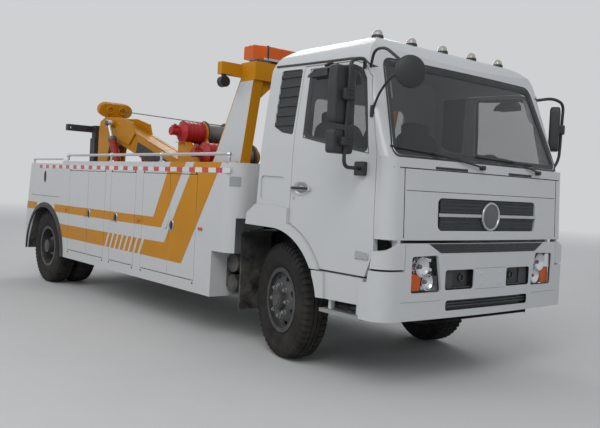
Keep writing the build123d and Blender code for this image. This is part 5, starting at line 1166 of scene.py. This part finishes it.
bm, bolts, edges = bmesh.new(), bmesh.new(), bmesh.new()
for side in BOTH:
    add_boom_plate(bm, 0.36, 1.84, -0.138, 0.040, side * 0.1195, side * 0.1235)
    for s in [0.42 + 0.17 * k for k in range(9)]:
        for n in (-0.120, 0.022):
            x, z = on_boom(s, n)
            add_rod(bolts, (x, side * 0.1225, z), (x, side * 0.1275, z), 0.009, sides=6)
    add_boom_plate(edges, -0.02, 1.86, 0.1445, 0.1525, side * 0.086, side * 0.132)
    add_boom_plate(edges, 0.30, 1.86, 0.050, 0.062, side * 0.1195, side * 0.127)
piece("boom_panels", bm, "boom", "frame_black", bevel=0.002)
piece("boom_bolts", bolts, "boom", "drum_steel", smooth=False)
piece("boom_flanges", edges, "boom", "amber_yellow", bevel=0.002)
LUFF_FOOT, LUFF_EYE = (-4.800, 1.250), (-5.450, 2.345)
for piece_name, body, places in (("pin_caps", "boom", ((*LUFF_EYE, 0.276, 0.040), (-6.120, 0.850, 0.150, 0.052))),
                                 ("foot_pin_caps", "chassis", ((*LUFF_FOOT, 0.326, 0.044),))):
    bm = bmesh.new()
    for side in BOTH:
        for x, z, y, r in places:
            add_turned(bm, (st(x), side * y, z), (0, side, 0),
                       [(-0.004, 0.0), (-0.004, r), (0.010, r), (0.014, r * 0.82), (0.014, r * 0.4), (0.010, r * 0.3),
                        (0.010, 0.0)], sides=32)
    piece(piece_name, bm, body, "drum_steel")

HOLE_Y, HOLE_ABOVE = 0.100, 0.235
axis_x, axis_z = -math.cos(SLOPE), math.sin(SLOPE)
bm = bmesh.new()
for side in BOTH:
    for s, way in ((2.971, -1), (3.079, 1)):
        x, z = on_boom(s, HOLE_ABOVE)
        add_turned(bm, (x, side * HOLE_Y, z), (way * axis_x, 0, way * axis_z),
                   [(-0.002, 0.0375), (-0.002, 0.066), (0.012, 0.064), (0.018, 0.056), (0.018, 0.046), (0.012, 0.039)],
                   sides=40, closed=True)
    (x0, z0), (x1, z1) = on_boom(2.974, 0.226), on_boom(3.076, 0.226)
    add_rod(bm, (x0, side * 0.172, z0), (x1, side * 0.172, z1), 0.100, sides=56)
    add_boom_plate(bm, 2.945, 3.074, 0.090, 0.190, side * 0.105, side * 0.128)
add_boom_plate(bm, 2.972, 3.078, 0.328, 0.337, -0.165, 0.165)
piece("head_collars", bm, "boom_head", "amber_yellow", bevel=0.003)

# Upper winch rope, drawn out to the head's left hole in two lengths that meet over the boom, with its hook behind
ROPE_R, HOOK_R = 0.007, 0.036
drum_x, drum_z, wrap_r = st(WINCHES[0][1]), WINCHES[0][2], WRAP_R + 0.0085
hole_x, hole_z = on_boom(2.970, HOLE_ABOVE)
out_x, out_z = on_boom(3.110, HOLE_ABOVE)
reach = math.hypot(hole_x - drum_x, hole_z - drum_z)
leave = math.atan2(hole_z - drum_z, hole_x - drum_x) - math.acos(wrap_r / reach)
drum_end = Vector((drum_x + wrap_r * math.cos(leave), HOLE_Y, drum_z + wrap_r * math.sin(leave)))
hole = Vector((hole_x, HOLE_Y, hole_z))
meeting = drum_end.lerp(hole, 0.38)
for piece_name, start, end, tail, bodies in (("rope_to_boom", drum_end, meeting, [], ("chassis", "boom")),
                                             ("rope_to_head", meeting, hole, [Vector((out_x, HOLE_Y, out_z))],
                                              ("boom", "boom_head"))):
    bm = bmesh.new()
    add_tube(bm, [start.lerp(end, k / 30) for k in range(31)] + tail, ROPE_R, sides=10, steps=1)
    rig.blend(piece(piece_name, bm, None, "drum_steel", ROPE), *bodies, start=start, end=end)
bm = bmesh.new()
add_turned(bm, (out_x, HOLE_Y, out_z), (axis_x, 0, axis_z),
           [(-0.020, 0.0), (-0.020, 0.014), (0.0, 0.021), (0.034, 0.021), (0.044, 0.015), (0.052, 0.015), (0.052, 0.0)],
           sides=28)
x0, z0 = out_x + axis_x * 0.050, out_z + axis_z * 0.050
x1, z1 = x0 + axis_x * 0.046, z0 + axis_z * 0.046 - 0.010
hook = [(x0, HOLE_Y, z0)]
for k in range(10):
    turn = math.radians(-10 - 25 * k)
    hook.append((x1 + HOOK_R * math.sin(turn), HOLE_Y, z1 + HOOK_R * math.cos(turn)))
add_tube(bm, hook, 0.0105, sides=14, steps=4)
piece("rope_hook", bm, "boom_head", "drum_steel")

# Winches: ribbed red gearboxes with a motor at the end, bolted covers, port blocks and the brackets under them
bm, bolts = bmesh.new(), bmesh.new()
for _, station, height, length in WINCHES:
    end = 0.191 + length + 0.060
    shoulder = end - 0.165
    profile = [(0.191, 0.0), (0.191, 0.139), (0.209, 0.139), (0.209, 0.124)]
    for y in (0.262, 0.318, 0.374):
        profile += [(y, 0.124), (y + 0.003, 0.130), (y + 0.011, 0.130), (y + 0.014, 0.124)]
    profile += [(shoulder - 0.018, 0.124), (shoulder - 0.018, 0.137), (shoulder, 0.137), (shoulder + 0.004, 0.118),
                (shoulder + 0.030, 0.088), (shoulder + 0.044, 0.066), (shoulder + 0.050, 0.064),
                (shoulder + 0.062, 0.064), (shoulder + 0.064, 0.049), (end - 0.022, 0.047), (end - 0.022, 0.052),
                (end - 0.006, 0.052), (end, 0.044), (end, 0.0)]
    add_turned(bm, (st(station), 0, height), (0, -1, 0), profile, sides=64)
    add_turned(bm, (st(station), 0, height), (0, 1, 0),
               [(0.191, 0.0), (0.191, 0.116), (0.205, 0.116), (0.207, 0.100), (0.244, 0.096), (0.251, 0.086),
                (0.251, 0.0)], sides=64)
    add_box(bm, (st(station) - 0.034, -end + 0.030, height + 0.040),
            (st(station) + 0.034, -end + 0.090, height + 0.074))
    for y, way, ring in ((0.209, -1, 0.131), (shoulder, -1, 0.128), (0.205, 1, 0.108)):
        for place in around((st(station), way * y, height), (0, 1, 0), ring, 14, 0.5):
            add_rod(bolts, place - Vector((0, way * 0.003, 0)), place + Vector((0, way * 0.007, 0)), 0.0055, sides=6)
    for way in BOTH:
        place = Vector((st(station) + way * 0.017, -end + 0.060, height + 0.074))
        add_rod(bolts, place, place + Vector((0, 0, 0.016)), 0.0105, sides=6)
piece("winch_covers", bm, "chassis", "winch_red", bevel=0.0015, replaces=["winch_gearboxes"])
piece("winch_bolts", bolts, "chassis", "drum_steel", smooth=False)
bm = bmesh.new()
BRACKET = [(-2.985, 1.143), (-2.985, 2.000), (-2.760, 2.000), (-2.420, 1.780), (-2.370, 1.738), (-2.130, 1.738),
           (-2.130, 1.143)]
add_side_plate(bm, BRACKET, -0.430, -0.416)
for (x0, z0), (x1, z1) in zip(BRACKET[1:5], BRACKET[2:6]):
    down = Vector((z1 - z0, x0 - x1)).normalized() * 0.010
    flange = [(x0, z0), (x1, z1), (x1 + down.x, z1 + down.y), (x0 + down.x, z0 + down.y)]
    add_side_plate(bm, flange, -0.470, -0.376)
add_box(bm, (st(-2.985), -0.416, 1.560), (st(-2.973), -0.193, 1.960))
add_box(bm, (st(-2.150), -0.416, 1.300), (st(-2.138), -0.193, 1.690))
piece("winch_brackets", bm, "chassis", "amber_yellow", bevel=0.002)

# Body: a bare plate on the right front corner, small pulls, a painted shadow line along the tail, hinge pins at the
# lockers' corners and painted shadow lines along the lockers' seams
bm, dark = bmesh.new(), bmesh.new()
rows = []
for k in range(9):
    a = math.radians(28 + 36 * k / 8)
    out = Vector((math.sin(a), -math.cos(a), 0))
    foot = Vector((st(-0.725), -1.045, 0))
    rows.append([foot + out * r + Vector((0, 0, z)) for r, z in box_outline(0.1735, 0.1770, 1.486, 1.579)])
add_rows(bm, rows)
for side in BOTH:
    add_box(dark, (st(-5.322), side * 1.219, 1.415), (st(-5.287), side * 1.226, 1.570))
    add_pillow(dark, (st(-5.304), side * 1.228, 1.490), (0.026, 0.016, 0.110), cells=6)
    # A painted shadow line along the tail, 1.22 m up
    add_box(dark, (st(-5.845), side * 1.2195, 1.2180), (st(-4.760), side * 1.2210, 1.2235))
piece("corner_plate", bm, "chassis", "drum_steel", PLATE)
piece("body_pulls", dark, "chassis", "trim_dark", bevel=0.001)
bm, lines = bmesh.new(), bmesh.new()
for side in BOTH:
    for x0, x1 in LOCKER_GAPS:
        for station in (x0 + 0.020, x1 - 0.020):
            for height in (LEAF_LOW - 0.030, LEAF_HIGH + 0.014):
                add_rod(bm, (st(station), side * (BODY_Y - SUNK), height),
                        (st(station), side * (BODY_Y + 0.006), height), 0.010, 0.008, sides=16)
        # Painted shadow lines along the seams above and below each locker
        for height in (LEAF_LOW - 0.0075, LEAF_HIGH + 0.0045):
            add_box(lines, (st(x0 + 0.05), side * (BODY_Y - SUNK), height),
                    (st(x1 - 0.05), side * (BODY_Y + 0.0008), height + 0.003))
piece("locker_pins", bm, "chassis", "drum_steel", M["trim_dark"])
piece("locker_lines", lines, "chassis", "trim_dark", SEAM_SHADOW, smooth=False)

# Rails: ball fittings where the posts meet them and flanged feet
bm = bmesh.new()
RAIL_Y = BODY_Y - 0.028
for side in BOTH:
    for x, z, r in ((-3.215, 1.790, 0.025), (-1.980, 1.790, 0.025), (-0.684, 1.786, 0.027), (-4.546, 1.786, 0.027),
                    (-5.836, 1.736, 0.020)):
        bmesh.ops.create_uvsphere(bm, u_segments=24, v_segments=14, radius=r,
                                  matrix=Matrix.Translation((st(x), side * RAIL_Y, z)))
    for x in (-4.550, -3.215, -1.980, -0.680):
        add_turned(bm, (st(x), side * RAIL_Y, 1.710), (0, 0, 1),
                   [(-0.002, 0.032), (0.005, 0.032), (0.008, 0.026), (0.014, 0.0185), (0.014, 0.012), (-0.002, 0.012)],
                   sides=28, closed=True)
piece("rail_fittings", bm, "chassis", "rail_chrome")

# Tail: reflecting bars and round reflectors on the sloped rear faces
rear_cast = surface("side_box_right", "side_box_left")


def add_rear_plate(bm, y0, y1, z0, z1, lift):
    """Adds a thin plate on the rear face of the body."""
    hits = [rear_cast((-6.0, y, z), (1, 0, 0)) for y, z in ((y0, z0), (y1, z0), (y1, z1), (y0, z1))]
    add_prism(bm, [p + Vector((0.002, 0, 0)) for p in hits], [p - Vector((lift, 0, 0)) for p in hits])


red, pale = bmesh.new(), bmesh.new()
for side in BOTH:
    for k in range(5):
        inner = 0.640 + k * 0.110
        add_rear_plate(pale if k % 2 else red, side * inner, side * (inner + 0.110), 1.550, 1.600, 0.002)
    hit = rear_cast((-6.0, side * 1.150, 0.600), (1, 0, 0))
    add_turned(red, hit, (-1, 0, 0), [(-0.002, 0.040), (0.006, 0.038), (0.009, 0.030), (0.010, 0.0)], sides=32)
piece("tail_red_bars", red, "chassis", "winch_red", RED_SHEET, smooth=False)
piece("tail_pale_bars", pale, "chassis", "body_white", PALE_SHEET, smooth=False)

# Cylinders: glands at the barrels' mouths and two oil ports on each barrel
for piece_name, body, foot, eye, length, radius, rod, ys in (
        ("luff_glands", "luff_barrels", LUFF_FOOT, LUFF_EYE, 1.015, 0.058, 0.028, (-0.236, 0.236)),
        ("tilt_gland", "tilt_barrel", (-6.070, 1.760), (-6.190, 0.950), 0.560, 0.044, 0.021, (0.0,))):
    bm = bmesh.new()
    along = Vector((eye[0] - foot[0], 0, eye[1] - foot[1])).normalized()
    across = Vector((-along.z, 0, along.x)) * (1 if foot[1] < eye[1] else -1)
    for y in ys:
        foot_place = Vector((st(foot[0]), y, foot[1]))
        add_turned(bm, foot_place + along * length, along,
                   [(-0.055, radius - 0.002), (-0.055, radius + 0.005), (-0.006, radius + 0.005), (0.001, radius),
                    (0.004, radius * 0.72), (0.012, rod + 0.008), (0.012, rod + 0.0015), (-0.004, rod + 0.0015)],
                   sides=40, closed=True)
        for distance in (0.110, length - 0.100):
            port = foot_place + along * distance + across * (radius - 0.004)
            add_rod(bm, port, port + across * 0.022, 0.015, sides=20)
            add_rod(bm, port + across * 0.022, port + across * 0.036, 0.012, sides=6)
    piece(piece_name, bm, body, "drum_steel", bevel=0.001)

# Springs: U-bolts over each pack, with their plates
bm = bmesh.new()
for station, ys, low, high in ((0.0, (-0.400, 0.400), 0.430, 0.575), (REAR_AXLE, (-0.512, 0.512), 0.430, 0.700)):
    for y in ys:
        for x in (-0.062, 0.062):
            for edge in (-0.047, 0.047):
                add_rod(bm, (st(station + x), y + edge, low), (st(station + x), y + edge, high), 0.009, sides=12)
            add_rod(bm, (st(station + x), y - 0.053, high), (st(station + x), y + 0.053, high), 0.009, sides=12)
        add_box(bm, (st(station - 0.085), y - 0.062, low), (st(station + 0.085), y + 0.062, low + 0.014))
piece("spring_bolts", bm, "chassis", "frame_black", bevel=0.001)

# Deck: raised tread on the plates beside the winch frame and behind it
bm = bmesh.new()
TREAD_PITCH, TREAD_LENGTH, TREAD_COLUMNS = 0.085, 4.36, 14
for i in range(int(TREAD_LENGTH / TREAD_PITCH)):
    for j in range(TREAD_COLUMNS):
        x, y = -5.03 + i * TREAD_PITCH, -0.555 + j * TREAD_PITCH
        if -3.22 < x < -1.92 and abs(y) < 0.48 or x < -4.60 and 0.10 < abs(y) < 0.38:
            continue
        turn = math.radians(45 if (i + j) % 2 else -45)
        place = Matrix.Translation((st(x), y, 1.1430)) @ Matrix.Rotation(turn, 4, "Z")
        bmesh.ops.create_cone(bm, cap_ends=True, segments=8, radius1=0.021, radius2=0.014, depth=0.0035,
                              matrix=place @ Matrix.Diagonal((1.0, 0.32, 1.0, 1.0)))
piece("deck_tread", bm, "chassis", "drum_steel", smooth=False)

# Steps: ribbed tread plates with turned-down edges
bm, ribs = bmesh.new(), bmesh.new()
for side in BOTH:
    add_box(bm, (st(0.664), side * 0.958, 0.5605), (st(1.126), side * 1.165, 0.5635))
    add_box(bm, (st(0.664), side * 1.1635, 0.535), (st(1.126), side * 1.1665, 0.5635))
    add_box(bm, (st(0.6635), side * 0.958, 0.535), (st(0.6665), side * 1.165, 0.5635))
    for k in range(17):
        x = 0.690 + k * 0.0257
        add_box(ribs, (st(x), side * 0.975, 0.563), (st(x) + 0.010, side * 1.150, 0.5675))
piece("step_plates", bm, "chassis", "drum_steel", PLATE, bevel=0.0015)
piece("step_ribs", ribs, "chassis", "drum_steel", SILVER, bevel=0.001)

# Camera, at the photograph's place
PHOTO_WIDTH, PHOTO_HEIGHT, FOCAL_PIXELS, SENSOR = 600.0, 428.0, 727.2, 36.0
AIM_X, AIM_Y = 303.5, 212.2
YAW, PITCH, ROLL = math.radians(140.46), math.radians(-1.79), math.radians(2.91)
sight = Vector((math.cos(PITCH) * math.cos(YAW), math.cos(PITCH) * math.sin(YAW), math.sin(PITCH)))
level = sight.cross(Vector((0, 0, 1))).normalized()
upright = level.cross(sight)
right = math.cos(ROLL) * level + math.sin(ROLL) * upright
above = -math.sin(ROLL) * level + math.cos(ROLL) * upright
camera = bpy.data.objects.new("camera", bpy.data.cameras.new("camera"))
bpy.context.scene.collection.objects.link(camera)
aim = Matrix((right, above, -sight)).transposed().to_4x4()
camera.matrix_world = Matrix.Translation((st(4.997), -4.951, 1.493)) @ aim
camera.data.sensor_width = SENSOR
camera.data.lens = FOCAL_PIXELS * SENSOR / PHOTO_WIDTH
camera.data.shift_x = -(AIM_X - PHOTO_WIDTH / 2) / PHOTO_WIDTH
camera.data.shift_y = (AIM_Y - PHOTO_HEIGHT / 2) / PHOTO_WIDTH
bpy.context.scene.camera = camera

# Floor, lights and world
BACKDROP = (0.62, 0.63, 0.645)
bm = bmesh.new()
bmesh.ops.create_grid(bm, x_segments=1, y_segments=1, size=400.0)
mesh = bpy.data.meshes.new("floor")
bm.to_mesh(mesh)
bm.free()
floor = bpy.data.objects.new("floor", mesh)
bpy.context.scene.collection.objects.link(floor)
floor_pale = finish("floor_pale", (0.60, 0.60, 0.59), 0.75, mottle=0.01, bump=0.0)
mesh.materials.append(floor_pale)
tree = floor_pale.node_tree
away = tree.nodes.new("ShaderNodeVectorMath")
away.operation = "LENGTH"
tree.links.new(tree.nodes["Texture Coordinate"].outputs["Object"], away.inputs[0])
haze = tree.nodes.new("ShaderNodeEmission")
haze.inputs["Color"].default_value = (*BACKDROP, 1.0)
blend = tree.nodes.new("ShaderNodeMixShader")
tree.links.new(ramp(tree, away.outputs["Value"], 9.0, 34.0), blend.inputs["Fac"])
tree.links.new(tree.nodes["Principled BSDF"].outputs["BSDF"], blend.inputs[1])
tree.links.new(haze.outputs["Emission"], blend.inputs[2])
tree.links.new(blend.outputs["Shader"], tree.nodes["Material Output"].inputs["Surface"])
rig.stage(floor)

world = bpy.data.worlds.new("studio")
bpy.context.scene.world = world
world.use_nodes = True
tree = world.node_tree
light = tree.nodes["Background"]
light.inputs["Color"].default_value = (0.90, 0.94, 1.0, 1.0)
light.inputs["Strength"].default_value = 0.50
backdrop = tree.nodes.new("ShaderNodeBackground")
backdrop.inputs["Color"].default_value = (*BACKDROP, 1.0)
rays = tree.nodes.new("ShaderNodeLightPath")
seen = rays.outputs["Is Camera Ray"]
for kind in ("Is Glossy Ray", "Is Transmission Ray"):
    either = tree.nodes.new("ShaderNodeMath")
    either.operation = "MAXIMUM"
    tree.links.new(seen, either.inputs[0])
    tree.links.new(rays.outputs[kind], either.inputs[1])
    seen = either.outputs[0]
choice = tree.nodes.new("ShaderNodeMixShader")
tree.links.new(seen, choice.inputs["Fac"])
tree.links.new(light.outputs["Background"], choice.inputs[1])
tree.links.new(backdrop.outputs["Background"], choice.inputs[2])
tree.links.new(choice.outputs["Shader"], tree.nodes["World Output"].inputs["Surface"])
for name, place, size, power in (("key", (9.0, -7.5, 9.0), 6.0, 500.0), ("side", (-2.0, -11.0, 7.0), 7.0, 260.0),
                                 ("back", (-9.0, 8.0, 8.0), 7.0, 380.0)):
    lamp = bpy.data.objects.new(name, bpy.data.lights.new(name, "AREA"))
    bpy.context.scene.collection.objects.link(lamp)
    lamp.data.size = size
    lamp.data.energy = power
    lamp.location = place
    lamp.rotation_euler = (Vector((0.5, 0, 1.0)) - Vector(place)).to_track_quat("-Z", "Y").to_euler()

bpy.context.scene.view_settings.view_transform = "Standard"
with open("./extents.json", "w") as out_file:
    json.dump({"cad": CAD_BOX, "visual": [list(map(float, corner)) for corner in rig.bounds()]}, out_file)
